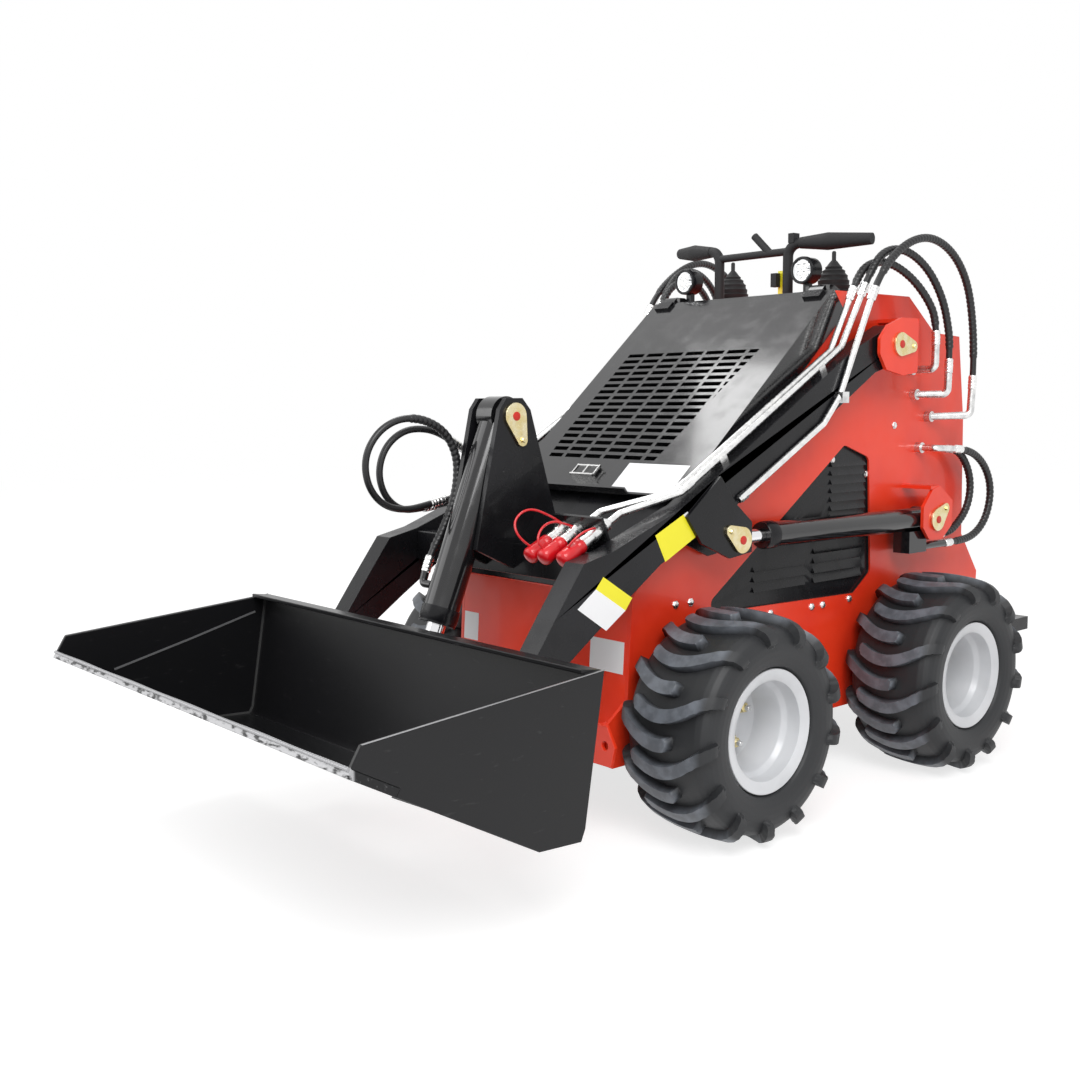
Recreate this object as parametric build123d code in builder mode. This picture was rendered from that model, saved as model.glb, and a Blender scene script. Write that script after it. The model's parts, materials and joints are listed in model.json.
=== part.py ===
"""Stand-on mini skid steer loader: four driven wheels, two lift arms with a tilt tower, and a bucket.

Units are millimetres. The front is -Y, the machine's left side is +X and +Z is up. The origin is on the
ground, below the middle of the whole machine. Side outlines are written as (station, height) pairs, where a
station is counted along Y from the middle between the two axles.
"""
import os
from math import atan2, cos, degrees, hypot, radians, sin, tan

from build123d import *

os.makedirs("parts", exist_ok=True)

# Driving dimensions ----------------------------------------------------------------------------------------
mid_y = 133.0                # where the middle between the axles lies in the part's own frame
wheelbase = 732.0
axle_z = 229.0
tyre_radius = 229.0          # out to the lugs' tips
tyre_width = 216.0
tyre_gap = 18.0              # between a tyre's inner side and the side plate
rim_flange_radius = 123.0
rim_seat_radius = 101.6
rim_well_radius = 88.0
rim_width = 184.0            # over both flanges
rim_wall = 4.0
seat_gap = 0.6               # between the tyre's beads and the rim
motor_radius = 48.0
shaft_radius = 19.0
running_gap = 0.05           # round a shaft or a hinge pin

plate = 8.0                  # chassis plates
body_half = 270.0            # outer faces of the side plates
floor_z = 150.0              # underside of the chassis
deck_top = 1099.0

arm_width = 50.0
arm_wall = 6.0
arm_gap = 15.0               # between an arm and the side plate
ear_gap = 7.0                # between an arm and its ear
gusset, inner_gusset = 8.0, 6.0      # knee plates on the outer and inner face of the arms
pivot_pin_radius = 19.0
cylinder_pin_radius = 12.5
tower_pin_radius = 14.0

arm_inner = body_half + arm_gap
arm_outer = arm_inner + arm_width
arm_x = arm_inner + arm_width / 2            # middle of each lift arm
ear_x = arm_outer + ear_gap + plate          # outer faces of the pivot ears
wheel_x = body_half + tyre_gap + tyre_width / 2

pivot = (257.0, 988.0)       # arm pivot, as station and height
knee = (-284.0, 583.0)       # lift rod's eye
lift_base = (429.0, 577.0)   # lift barrel's rear pin
hinge = (-800.0, 215.0)      # bucket hinge pins
lug = (-838.0, 330.0)        # tilt rod's eye
tower_pin = (-634.0, 836.0)  # tilt barrel's top pin

lift_barrel_radius = 27.0
lift_rod_radius = 15.0
tilt_barrel_radius = 36.0
tilt_rod_radius = 19.0
bore_gap = 0.4               # between a rod and its gland

bucket_half = 550.0
bucket_plate = 8.0
hood_plate = 5.0
hose_radius = 7.5
tilt_hose_radius = 7.0

sides = (("left", 1), ("right", -1))


# Shared shapes ---------------------------------------------------------------------------------------------
def at(station, height):
    """The point (Y, Z) of a station and a height."""
    return (station + mid_y, height)


def slab(outline, x_from, x_to, mode=Mode.ADD, rounding=0.0):
    """Adds a flat plate with the given side outline, between two X positions."""
    with BuildSketch(Plane.YZ.offset(x_from)) as profile:
        Polygon(*[at(s, h) for s, h in outline], align=None)
        if rounding:
            fillet(profile.vertices(), rounding)
    extrude(profile.sketch, amount=x_to - x_from, mode=mode)


def disc(centre, radius, x_from, x_to, mode=Mode.ADD):
    """Adds a round piece across the machine, centred on a station and a height."""
    with BuildSketch(Plane.YZ.offset(x_from)) as profile:
        with Locations(at(*centre)):
            Circle(radius)
    extrude(profile.sketch, amount=x_to - x_from, mode=mode)


def bar(start, end, radius, mode=Mode.ADD):
    """Adds a round bar between two points given as (X, station, height)."""
    low = Vector(start[0], *at(*start[1:]))
    high = Vector(end[0], *at(*end[1:]))
    with BuildSketch(Plane(origin=low, z_dir=high - low)) as profile:
        Circle(radius)
    extrude(profile.sketch, amount=(high - low).length, mode=mode)


def bent_rod(route, radius, bend):
    """Adds a round rod or tube along a route of (X, station, height) points with equal bends."""
    points = [Vector(x, *at(s, h)) for x, s, h in route]
    with BuildLine() as path:
        if len(points) > 2:
            FilletPolyline(*points, radius=bend)
        else:
            Line(*points)
    with BuildSketch(Plane(origin=points[0], z_dir=points[1] - points[0])) as section:
        Circle(radius)
    sweep(section.sketch, path=path.wires()[0])


def along(start, end, distance):
    """The station and height that lie a distance from start, on the line to end."""
    length = hypot(end[0] - start[0], end[1] - start[1])
    share = distance / length
    return (start[0] + (end[0] - start[0]) * share, start[1] + (end[1] - start[1]) * share)


def flag(pin, tail, x_from, x_to):
    """Adds a pin's retaining plate: round about the pin, and narrowing to the bolt that holds it."""
    with BuildSketch(Plane.YZ.offset(x_from)) as profile:
        with Locations(at(*pin)):
            Circle(27)
        with Locations(at(*tail)):
            Circle(13)
        make_hull()
    extrude(profile.sketch, amount=x_to - x_from)


def save(part, name):
    """Labels a finished piece and writes it to its own file."""
    part.label = name
    export_step(part, f"parts/{name}.step")


# Side plates: steel plate with a window for the vent panel, and box ears for the arm and the lift cylinder --
side_outline = [
    (-536, 279), (-523, 480), (-344, 701), (124, deck_top + plate), (413, deck_top + plate), (526, 1025),
    (641, 1019), (671, 813),
    (679, 518), (759, 414), (745, 190), (705, floor_z), (-578, floor_z), (-598, 163), (-590, 240),
]
vent_window = [(-330, 425), (165, 761), (262, 729), (278, 457), (215, 413)]
ears = (
    # outline of the outer plate, centre and radius of its pin, fold and foot of the slanted web, web heights
    ([(179, 1000), (209, 1030), (262, 1048), (330, 1048), (330, 925), (271, 918), (205, 930), (179, 965)],
     pivot, pivot_pin_radius, 330, 430, 950, 1048),
    ([(372, 610), (410, 650), (440, 658), (497, 620), (497, 560), (455, 528), (400, 530), (372, 560)],
     lift_base, cylinder_pin_radius, 497, 600, 560, 620),
)

for side, sign in sides:
    with BuildPart() as side_plate:
        inner, outer = sign * (body_half - plate), sign * body_half
        slab(side_outline, inner, outer)
        slab(vent_window, inner, outer, Mode.SUBTRACT, 18)
        for outline, centre, pin, fold, foot, low, high in ears:
            slab(outline, sign * (ear_x - plate), sign * ear_x, Mode.ADD, 8)
            with BuildSketch(Plane.XY.offset(low)) as web:
                Polygon(
                    (sign * ear_x, fold + mid_y), (outer, foot + mid_y),
                    (outer, foot - 1.3 * plate + mid_y),
                    (sign * (ear_x - plate), fold - 0.3 * plate + mid_y), align=None,
                )
            extrude(web.sketch, amount=high - low)
            disc(centre, pin + running_gap, inner, sign * ear_x, Mode.SUBTRACT)
        for front, back, level in ((285, 330, 1040), (402, 440, 650)):
            slab([(front, level), (back, level), (back, level + plate), (front, level + plate)],
                 sign * (body_half - 1), sign * (ear_x - 1))
    save(side_plate.part, f"side_plate_{side}")

# Chassis pins: one through each arm and one through each lift barrel, each held by a plate on its ear --------
flag_thickness = 6.0
with BuildPart() as chassis_pins:
    for side, sign in sides:
        ear_face = sign * ear_x
        for pin, radius, tail in ((pivot, pivot_pin_radius, (305, 984)), (lift_base, cylinder_pin_radius, (462, 602))):
            disc(pin, radius, sign * (body_half - plate - 6), ear_face + sign * flag_thickness)
            flag(pin, tail, ear_face, ear_face + sign * flag_thickness)
save(chassis_pins.part, "chassis_pins")

# Belly pan, front panel, rear panel and decks: the plates between the two side plates ----------------------
inside = body_half - plate

with BuildPart() as belly_pan:
    slab([(-570, floor_z), (700, floor_z), (700, floor_z + plate), (-570, floor_z + plate)], -inside, inside)
save(belly_pan.part, "belly_pan")

tow_face = -608.0            # station of the tow plates' front faces
tow_hole = (280.0, 204.0)    # X and height of the hole in each tow plate
tow_hole_radius = 9.0
with BuildPart() as front_panel:
    slab([(-570, floor_z + plate), (-570 + plate, floor_z + plate), (-528, 279), (-515, 480), (-523, 480),
          (-536, 279)], -inside, inside)
    for side, sign in sides:
        with BuildSketch(Plane.XZ.offset(-(tow_face + mid_y))) as tow_plate:
            Polygon(*[(sign * x, z) for x, z in ((200, 163), (200, 226), (222, 244), (285, 244), (307, 204),
                                                 (296, 163))], align=None)
            with Locations((sign * tow_hole[0], tow_hole[1])):
                Circle(tow_hole_radius, mode=Mode.SUBTRACT)
        extrude(tow_plate.sketch, amount=-plate)
        slab([(tow_face + plate, 166), (tow_face + plate, 230), (-548, 230), (-560, 166)],
             sign * (inside - 40), sign * (inside - 28))
save(front_panel.part, "front_panel")

rear_foot, rear_waist = (740.0, 190.0), (751.0, 412.0)
with BuildPart() as rear_panel:
    slab([rear_foot, rear_waist, (671, 518), (663, 813), (633, 1011), (625, 1011), (655, 813), (663, 515),
          (743, 410), (732, 190)], -inside, inside)
save(rear_panel.part, "rear_panel")

with BuildPart() as top_deck:
    slab([(125, deck_top), (413, deck_top), (526, 1017), (625, 1011), (625, 1003), (523, 1009),
          (410, deck_top - plate), (125, deck_top - plate)], -inside, inside)
save(top_deck.part, "top_deck")

with BuildPart() as lower_hood:
    slab([(-515, 480), (-336, 700), (-330, 695), (-507, 476)], -inside, inside)
save(lower_hood.part, "lower_hood")

vent_sheet = 3.0
louvre_depth, louvre_height = 7.0, 14.0
louvre_banks = (
    # station of both ends, lowest louvre, number, step
    (122, 254, 572, 8, 20),
    (62, 246, 452, 4, 22),
    (-150, 30, 452, 3, 22),
)
with BuildPart() as vent_panels:
    for side, sign in sides:
        slab([(-345, 410), (-345, 430), (160, 775), (272, 740), (290, 450), (220, 400)],
             sign * (inside - vent_sheet), sign * inside)
        for front, back, lowest, count, step in louvre_banks:
            for low in [lowest + index * step for index in range(count)]:
                with BuildSketch(Plane.XZ.offset(-(front + mid_y))) as louvre:
                    Polygon((sign * (inside - 1), low), (sign * (inside + louvre_depth), low),
                            (sign * (inside - 1), low + louvre_height), align=None)
                extrude(louvre.sketch, amount=front - back)
save(vent_panels.part, "vent_panels")

with BuildPart() as engine_block:
    slab([(-60, 300), (-60, 640), (420, 640), (420, 300)], -200, 200)
    for x_low in (-190, 150):
        slab([(-60, floor_z + plate), (-60, 300), (420, 300), (420, floor_z + plate)], x_low, x_low + 40)
save(engine_block.part, "engine_block")

# Hood: slanted steel panel with rows of slots and folded sides, hinged along its top edge -------------------
hood_top = (112.0, deck_top + 6)
hood_low = (-391.0, 668.6)
hood_slope = atan2(hood_top[1] - hood_low[1], hood_top[0] - hood_low[0])
hood_length = hypot(hood_top[1] - hood_low[1], hood_top[0] - hood_low[0])
hood_side, hood_side_gap, hood_side_depth = 3.0, 1.0, 62.0   # folded sides, outside the side plates
hood_half = body_half + hood_side_gap + hood_side
slot_rows, slot_columns = 17, 7
slot_pitch_x, slot_pitch, slot_width, slot_height = 63.0, 22.0, 52.0, 12.0
slot_field = ((-205, 92), (130, 92), (190, 475), (-245, 475))    # X and distance up the hood
slot_centre = 283.0
hood_pin, hood_pin_radius = (120.0, deck_top + 14), 4.0
hinge_x, hinge_width = inside - 56, 40.0
lip_length, lip_width = 14.0, 250.0
latch_half, latch_height = 26.0, 9.0

with BuildPart() as hood_panel:
    hood_plane = Plane(
        origin=(0, *at(*hood_low)), x_dir=(1, 0, 0), z_dir=(0, -sin(hood_slope), cos(hood_slope))
    )
    with BuildSketch(hood_plane) as slots:
        with Locations((0, slot_centre)):
            with GridLocations(slot_pitch_x, slot_pitch, slot_columns, slot_rows):
                Rectangle(slot_width, slot_height)
        Polygon(*slot_field, align=None, mode=Mode.INTERSECT)
    with BuildSketch(hood_plane) as hood_face:
        Rectangle(2 * hood_half, hood_length, align=(Align.CENTER, Align.MIN))
        add(slots.sketch_local, mode=Mode.SUBTRACT)
    extrude(hood_face.sketch, amount=hood_plate)
    with BuildSketch(hood_plane) as hood_sides:
        for side, sign in sides:
            with Locations((sign * (hood_half - hood_side / 2), 70)):
                Rectangle(hood_side, hood_length - 70, align=(Align.CENTER, Align.MIN))
    extrude(hood_sides.sketch, amount=-hood_side_depth)
    with BuildSketch(hood_plane) as lip:
        Rectangle(lip_width, hood_plate, align=(Align.CENTER, Align.MIN))
    extrude(lip.sketch, amount=hood_plate + lip_length)
    with BuildSketch(hood_plane) as latch:
        with Locations((-34, 52)):
            Rectangle(2 * latch_half, 34)
    extrude(latch.sketch, amount=hood_plate + latch_height)
    for sign in (-1, 1):
        x_low = sign * (hinge_x + hinge_width / 2) - hinge_width / 2
        slab([hood_top, along(hood_top, hood_low, 30), (94, deck_top + 2), (112, deck_top + 20),
              (120, deck_top + 20)], x_low, x_low + hinge_width)
        disc(hood_pin, 9, x_low, x_low + hinge_width)
        disc(hood_pin, hood_pin_radius + running_gap, x_low, x_low + hinge_width, Mode.SUBTRACT)
save(hood_panel.part, "hood_panel")
with BuildPart() as hood_hinge:
    for sign in (-1, 1):
        for x_low in (hinge_x - 13, hinge_x + hinge_width + 3):
            slab([(125.5, deck_top), (150, deck_top), (150, deck_top + 12), (130, deck_top + 21),
                  (112, deck_top + 21), (112, deck_top + 9)], sign * x_low, sign * (x_low + 10))
        disc(hood_pin, hood_pin_radius, sign * (hinge_x - 13), sign * (hinge_x + hinge_width + 13))
save(hood_hinge.part, "hood_hinge")

# Lift arms: welded boxes that bend down at the knee, with a plate on each face that holds the rod's eye ------
arm_outline = [
    (235, 1027), (109, 977), (-445, 660), (-640, 588), (-713, 572), (-785, 476), (-840, 400), (-834, 215),
    (-766, 215), (-764, 385), (-681, 442), (-511, 553), (-305, 645), (184, 924), (279, 949),
]
knee_plate = [(-347, 715), (-299, 657), (-250, 618), (-250, 556), (-318, 548), (-403, 585), (-445, 640)]
eye_gap = 1.0                # on each side of a rod's eye

for side, sign in sides:
    with BuildPart() as arm:
        inner, outer = sign * arm_inner, sign * arm_outer
        slab(arm_outline, inner, outer)
        with BuildSketch(Plane.YZ.offset(inner + sign * arm_wall)) as hollow:
            Polygon(*[at(s, h) for s, h in arm_outline], align=None)
            offset(amount=-arm_wall, kind=Kind.INTERSECTION)
        extrude(hollow.sketch, amount=sign * (arm_width - 2 * arm_wall), mode=Mode.SUBTRACT)
        disc(pivot, 45, inner, outer)
        disc(hinge, 34, inner, outer)
        slab(knee_plate, outer, outer + sign * gusset)
        slab(knee_plate, inner - sign * inner_gusset, inner)
        disc(pivot, pivot_pin_radius + running_gap, inner, outer, Mode.SUBTRACT)
        disc(hinge, cylinder_pin_radius + running_gap, inner, outer, Mode.SUBTRACT)
    save(arm.part, f"arm_{side}")

# Cross tube and tilt tower: a square tube between the arms carries two plates for the tilt cylinder ---------
tower_inner, tower_outer = 38.0, 50.0
cross_tube_outline = [(-640, 518), (-640, 582), (-580, 582), (-580, 518)]
tower_outline = [
    (-672, 850), (-655, 872), (-613, 872), (-592, 848), (-523, 620), (-548, 574), (-580, 540), (-640, 530),
    (-735, 575),
]

with BuildPart() as cross_tube:
    slab(cross_tube_outline, -arm_inner, arm_inner)
    slab([(-634, 524), (-634, 576), (-586, 576), (-586, 524)], -arm_inner, arm_inner, Mode.SUBTRACT)
save(cross_tube.part, "cross_tube")

with BuildPart() as tilt_tower:
    for side, sign in sides:
        slab(tower_outline, sign * tower_inner, sign * tower_outer)
    slab([(-530, 618), (-537, 618), (-588, 790), (-581, 790)], -tower_inner, tower_inner)
    slab(cross_tube_outline, -tower_outer, tower_outer, Mode.SUBTRACT)
    disc(tower_pin, tower_pin_radius, -tower_outer, tower_outer, Mode.SUBTRACT)
save(tilt_tower.part, "tilt_tower")

# Arm pins: the tilt barrel's pin through the tower, and the ends of the knee pins ----------------------------
with BuildPart() as arm_pins:
    disc(tower_pin, tower_pin_radius, -tower_outer - 6, tower_outer)
    flag(tower_pin, (-618, 788), tower_outer, tower_outer + flag_thickness)
    for side, sign in sides:
        knee_face = sign * (arm_outer + gusset)
        flag(knee, (-321, 603), knee_face, knee_face + sign * flag_thickness)
save(arm_pins.part, "arm_pins")

# Cylinders: each barrel is a tube with a closed rear end and an eye, and each rod slides in its gland -------
eye_half = arm_width / 2 - eye_gap


def barrel(pin, eye, tube_radius, rod_radius, length, x_middle, eye_radius, pin_radius):
    """Adds a cylinder barrel that starts at its pin, points at the rod's eye and ends at the given length."""
    closed = along(pin, eye, eye_radius + 8)
    nose = along(pin, eye, length)
    disc(pin, eye_radius, x_middle - eye_half, x_middle + eye_half)
    bar((x_middle, *along(pin, eye, 0.6 * eye_radius)), (x_middle, *nose), tube_radius)
    bar((x_middle, *closed), (x_middle, *nose), rod_radius + bore_gap, Mode.SUBTRACT)
    disc(pin, pin_radius + running_gap, x_middle - eye_half, x_middle + eye_half, Mode.SUBTRACT)


def piston_rod(pin, eye, rod_radius, tail, x_middle, eye_radius):
    """Adds a piston rod that runs from its eye back to the given distance from the barrel's pin."""
    disc(eye, eye_radius, x_middle - eye_half, x_middle + eye_half)
    bar((x_middle, *along(pin, eye, tail)), (x_middle, *eye), rod_radius)


lift_ports = (
    # X of the hose, height of the barrel's port
    (arm_x + 14, 512),
    (arm_x - 10, 530),
)
lift_barrel_length = 610.0
lift_rod_tail = 110.0
tilt_barrel_length = 440.0
tilt_rod_tail = 70.0

for side, sign in sides:
    with BuildPart() as lift_barrel:
        barrel(lift_base, knee, lift_barrel_radius, lift_rod_radius, lift_barrel_length, sign * arm_x, 28,
               cylinder_pin_radius)
        slab([(340, 500), (413, 500), (413, 552), (340, 552)], sign * (arm_x - 20), sign * (arm_x + 24))
        for x, port_height in lift_ports:
            bar((sign * x, 412, port_height), (sign * x, 505, port_height), 9)
    save(lift_barrel.part, f"lift_barrel_{side}")
    with BuildPart() as lift_rod:
        piston_rod(lift_base, knee, lift_rod_radius, lift_rod_tail, sign * arm_x, 26)
    save(lift_rod.part, f"lift_rod_{side}")

with BuildPart() as tilt_barrel:
    barrel(tower_pin, lug, tilt_barrel_radius, tilt_rod_radius, tilt_barrel_length, 0, 40, tower_pin_radius)
    bent_rod([(-60, -780, 525), (-60, -788, 503), (-28, -788, 503)], 8, 9)
save(tilt_barrel.part, "tilt_barrel")
with BuildPart() as tilt_rod:
    piston_rod(tower_pin, lug, tilt_rod_radius, tilt_rod_tail, 0, 26)
save(tilt_rod.part, "tilt_rod")


# Bucket: bent floor and back, two side plates, a cutting edge and the attach plate with its hinge ears ------
bucket_lip = (-1356.0, 357.0)
bucket_heel = (-1009.0, 166.0)
bucket_foot = (-911.0, 181.0)
bucket_top = (-868.0, 435.0)
edge_length = 92.0
edge_thickness = 14.0
floor_slope = atan2(bucket_lip[1] - bucket_heel[1], bucket_heel[0] - bucket_lip[0])
back_slope = atan2(bucket_top[0] - bucket_foot[0], bucket_top[1] - bucket_foot[1])


def above_floor(point, height):
    """The point that lies a height above the bucket floor's underside."""
    return (point[0] + height * sin(floor_slope), point[1] + height * cos(floor_slope))


def behind_back(height, offset):
    """The point at a height, an offset behind the outer face of the bucket's back."""
    return (bucket_foot[0] + (height - bucket_foot[1]) * tan(back_slope) + offset / cos(back_slope), height)


edge_rear = along(bucket_lip, bucket_heel, edge_length)
bucket_side = [
    above_floor(bucket_lip, edge_thickness), (-1331, 399), bucket_top, bucket_foot, (-920, 161), bucket_heel,
    edge_rear, above_floor(edge_rear, edge_thickness),
]
bucket_shell_outline = [
    edge_rear, bucket_heel, (-920, 161), bucket_foot, bucket_top, (-912, 441), (-912, 433),
    (-878, 428), (-919, 183), (-926, 170), (-1007, 174.5), above_floor(edge_rear, bucket_plate),
]
with BuildPart() as bucket_shell:
    slab(bucket_shell_outline, -bucket_half + bucket_plate, bucket_half - bucket_plate)
    for side, sign in sides:
        slab(bucket_side, sign * (bucket_half - bucket_plate), sign * bucket_half)
save(bucket_shell.part, "bucket_shell")

with BuildPart() as cutting_edge:
    slab([bucket_lip, above_floor(bucket_lip, edge_thickness), above_floor(edge_rear, edge_thickness),
          edge_rear], -bucket_half, bucket_half)
save(cutting_edge.part, "cutting_edge")

attach_half = 400.0
attach_thickness = 10.0
with BuildPart() as attach_plate:
    slab([behind_back(200, 0), behind_back(200, attach_thickness), behind_back(412, attach_thickness),
          behind_back(412, 0)], -attach_half, attach_half)
    for side, sign in sides:
        for x_low in (arm_inner - 22, arm_outer + 10):
            slab([behind_back(202, 5), behind_back(300, 5), (-790, 250), (-766, 215), (-790, 182)],
                 sign * x_low, sign * (x_low + 12))
        disc(hinge, cylinder_pin_radius, sign * (arm_inner - 22),
             sign * (arm_outer + 22))
        slab([behind_back(300, 5), behind_back(385, 5), (-838, 358), (-812, 335), (-825, 305)],
             sign * (eye_half + eye_gap),
             sign * (eye_half + eye_gap + 12))
save(attach_plate.part, "attach_plate")

# Wheels: a tyre on a pressed steel rim, on the shaft of its motor ------------------------------------------
axles = (("front", -wheelbase / 2), ("rear", wheelbase / 2))


def ring(profile, station, sign):
    """Adds a solid of revolution about an axle; the profile is a list of (X, radius) pairs."""
    with BuildSketch(Plane.XZ.offset(-(station + mid_y))) as section:
        Polygon(*[(sign * x, axle_z + r) for x, r in profile], align=None)
    revolve(section.sketch, axis=Axis((0, station + mid_y, axle_z), (1, 0, 0)))


# The carcass is a hollow ring of flat-sided sectors, one to each pair of lugs, which stand on its crown.
lug_count = 13                   # from each shoulder
lug_half = 12.0                  # half of a lug's width
lug_root = 196.0                 # radius of a lug's foot, inside the carcass
lug_peak = 40.0                  # from the tyre's middle to the highest corner of a lug
tyre_half = tyre_width / 2
lug_line = ((-74.0, 18.0), (0.0, 0.0), (tyre_half - 8, 42.0))            # across the tyre, and along its girth
peak_along = lug_peak * lug_line[-1][1] / lug_line[-1][0] + lug_half
peak_height = (tyre_radius ** 2 - peak_along ** 2) ** 0.5
lug_crown = ((-80, peak_height - 1.5), (lug_peak, peak_height), (tyre_half, peak_height - 16))
lug_turn = 360 / lug_count
bead_half, bead_width, bead_radius = rim_width / 2 - 8.4, 10.0, rim_seat_radius + seat_gap
lining_radius = 184.0
half_profile = [(70, 206), (tyre_half, 167), (bead_half, rim_flange_radius + 2), (bead_half, 0)]

with BuildPart() as sector:
    with BuildSketch(Plane.XZ) as profile:
        Polygon(*half_profile, *[(-x, r) for x, r in half_profile[::-1]], align=None)
    extrude(profile.sketch, amount=tyre_half, both=True)
    with BuildSketch(Plane.YZ) as wedge:
        reach = tyre_radius * tan(radians(lug_turn / 2))
        Polygon((0, 0), (-reach, tyre_radius), (reach, tyre_radius), align=None)
    extrude(wedge.sketch, amount=tyre_half, both=True, mode=Mode.INTERSECT)
with BuildPart() as carcass:
    add([sector.part.rotate(Axis.X, (index + 0.25) * lug_turn) for index in range(lug_count)])
    for radius, half in ((bead_radius, tyre_half), (lining_radius, bead_half - bead_width)):
        with BuildSketch(Plane.YZ) as hollow:
            RegularPolygon(radius, lug_count, major_radius=False)
        extrude(hollow.sketch, amount=half, both=True, mode=Mode.SUBTRACT)
with BuildPart() as lug_block:
    with BuildSketch(Plane.XY.offset(lug_root)) as foot:
        Polygon(*[(x, y - lug_half) for x, y in lug_line], *[(x, y + lug_half) for x, y in lug_line[::-1]],
                align=None)
    extrude(foot.sketch, amount=tyre_radius - lug_root)
    with BuildSketch(Plane.XZ) as crown:
        Polygon((lug_crown[0][0], lug_root), *lug_crown, (lug_crown[-1][0], lug_root), align=None)
    extrude(crown.sketch, amount=tyre_half, both=True, mode=Mode.INTERSECT)
# The highest corner of one lug points straight down, so the tyre stands on it.
first_turn = 180 + degrees(atan2(peak_along, peak_height))
with BuildPart() as tyre_master:
    add(carcass.part)
    lug_mirrored = mirror(lug_block.part, about=Plane.YZ, mode=Mode.PRIVATE)
    add([
        lug.rotate(Axis.X, (index + shift) * lug_turn)
        for index in range(lug_count) for lug, shift in ((lug_block.part, 0), (lug_mirrored, 0.5))
    ])
tyre_turned = tyre_master.part.rotate(Axis.X, first_turn)

rim_half = rim_width / 2
disc_offset = -26.0              # inner face of the wheel disc, from the middle of the tyre
rim_profile = [
    (2 - rim_half, rim_flange_radius), (6 - rim_half, rim_flange_radius), (8 - rim_half, rim_seat_radius + 0.4),
    (26 - rim_half, rim_seat_radius), (-56, rim_well_radius + rim_wall), (44, rim_well_radius + rim_wall),
    (54, rim_seat_radius), (rim_half - 8, rim_seat_radius + 0.4), (rim_half - 6, rim_flange_radius),
    (rim_half, rim_flange_radius), (rim_half - 2, 98), (56, 97.6), (46, rim_well_radius),
    (disc_offset + 6, rim_well_radius), (disc_offset + 6, 34), (disc_offset, 34), (disc_offset, rim_well_radius),
    (-58, rim_well_radius), (24 - rim_half, 97.6), (4 - rim_half, 98),
]
hub_radius, hub_inner, hub_outer = 36.0, wheel_x - 66, wheel_x - 14
for axle, station in axles:
    for side, sign in sides:
        with BuildPart() as tyre:
            with Locations((sign * wheel_x, station + mid_y, axle_z)):
                add(tyre_turned if sign > 0 else mirror(tyre_turned, about=Plane.YZ, mode=Mode.PRIVATE))
        save(tyre.part, f"tyre_{axle}_{side}")
        with BuildPart() as rim:
            ring([(wheel_x + x, r) for x, r in rim_profile], station, sign)
            ring([(hub_inner, 0), (hub_inner, hub_radius), (hub_outer, hub_radius), (hub_outer, 0)], station, sign)
            ring([(body_half + 26, 0), (body_half + 26, shaft_radius), (hub_inner + 2, shaft_radius),
                  (hub_inner + 2, 0)], station, sign)
        save(rim.part, f"rim_{axle}_{side}")

with BuildPart() as wheel_motors:
    for axle, station in axles:
        for side, sign in sides:
            ring([(body_half, 0), (body_half, motor_radius), (hub_inner - 6, motor_radius),
                  (hub_inner - 6, shaft_radius + running_gap), (body_half + 20, shaft_radius + running_gap),
                  (body_half + 20, 0)], station, sign)
save(wheel_motors.part, "wheel_motors")

# Platform: the operator's folding step behind the machine ---------------------------------------------------
step_hinge = (790.0, 232.0)
step_wall, step_gap, bracket_plate = 6.0, 6.0, 10.0
bracket_x = body_half - plate - bracket_plate
step_half = bracket_x - step_gap - step_wall
step_pin_radius = 8.0
with BuildPart() as platform:
    slab([(772, 244), (1090, 244), (1090, 250), (772, 250)], -step_half, step_half)
    slab([(1084, 214), (1084, 244), (1090, 244), (1090, 214)], -step_half, step_half)
    for side, sign in sides:
        slab([(772, 222), (772, 250), (1090, 250), (1090, 214), (780, 214)],
             sign * step_half, sign * (step_half + step_wall))
        disc(step_hinge, step_pin_radius + running_gap, sign * step_half, sign * (step_half + step_wall),
             Mode.SUBTRACT)
save(platform.part, "platform")
with BuildPart() as step_bracket:
    for side, sign in sides:
        slab([along(rear_foot, rear_waist, 10), along(rear_foot, rear_waist, 70), (790, 254), (808, 242),
              (808, 222), (790, 212)], sign * bracket_x, sign * (body_half - plate))
        disc(step_hinge, step_pin_radius, sign * (step_half - 6), sign * (body_half - plate))
save(step_bracket.part, "step_bracket")

# Console: padded handles, control levers on rubber boots and two round work lamps ---------------------------
post_x, post_station = 105.0, 160.0
post_radius, post_top, post_bend = 12.0, deck_top + 129, 30.0
grip_radius, grip_tip_radius = 20.0, 13.0
bar_z, bar_radius = deck_top + 111, 9.0
handles = (
    # side, end of the grip as X, station and height
    (1, (312, 195, deck_top + 123)),
    (-1, (-267, 195, deck_top + 141)),
)
with BuildPart() as grab_handles:
    for sign, end in handles:
        foot = (sign * post_x, post_station, deck_top)
        corner = (sign * post_x, post_station, post_top)
        bent_rod([foot, corner, end], post_radius, post_bend)
        reach = Vector(end[0], *at(*end[1:])) - Vector(corner[0], *at(*corner[1:]))
        for start, length, low_radius, high_radius in ((32, 70, grip_tip_radius, grip_radius),
                                                       (102, reach.length - 102, grip_radius, grip_tip_radius)):
            origin = Vector(corner[0], *at(*corner[1:])) + reach.normalized() * start
            with BuildSketch(Plane(origin=origin, z_dir=reach)) as wide:
                Circle(low_radius)
            with BuildSketch(Plane(origin=origin + reach.normalized() * length, z_dir=reach)) as narrow:
                Circle(high_radius)
            loft(sections=[wide.sketch, narrow.sketch], ruled=True)
    bar((-post_x, post_station, bar_z), (post_x, post_station, bar_z), bar_radius)
    bar((52, post_station, bar_z), (4, post_station, bar_z + 45), bar_radius)
save(grab_handles.part, "grab_handles")

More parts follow.
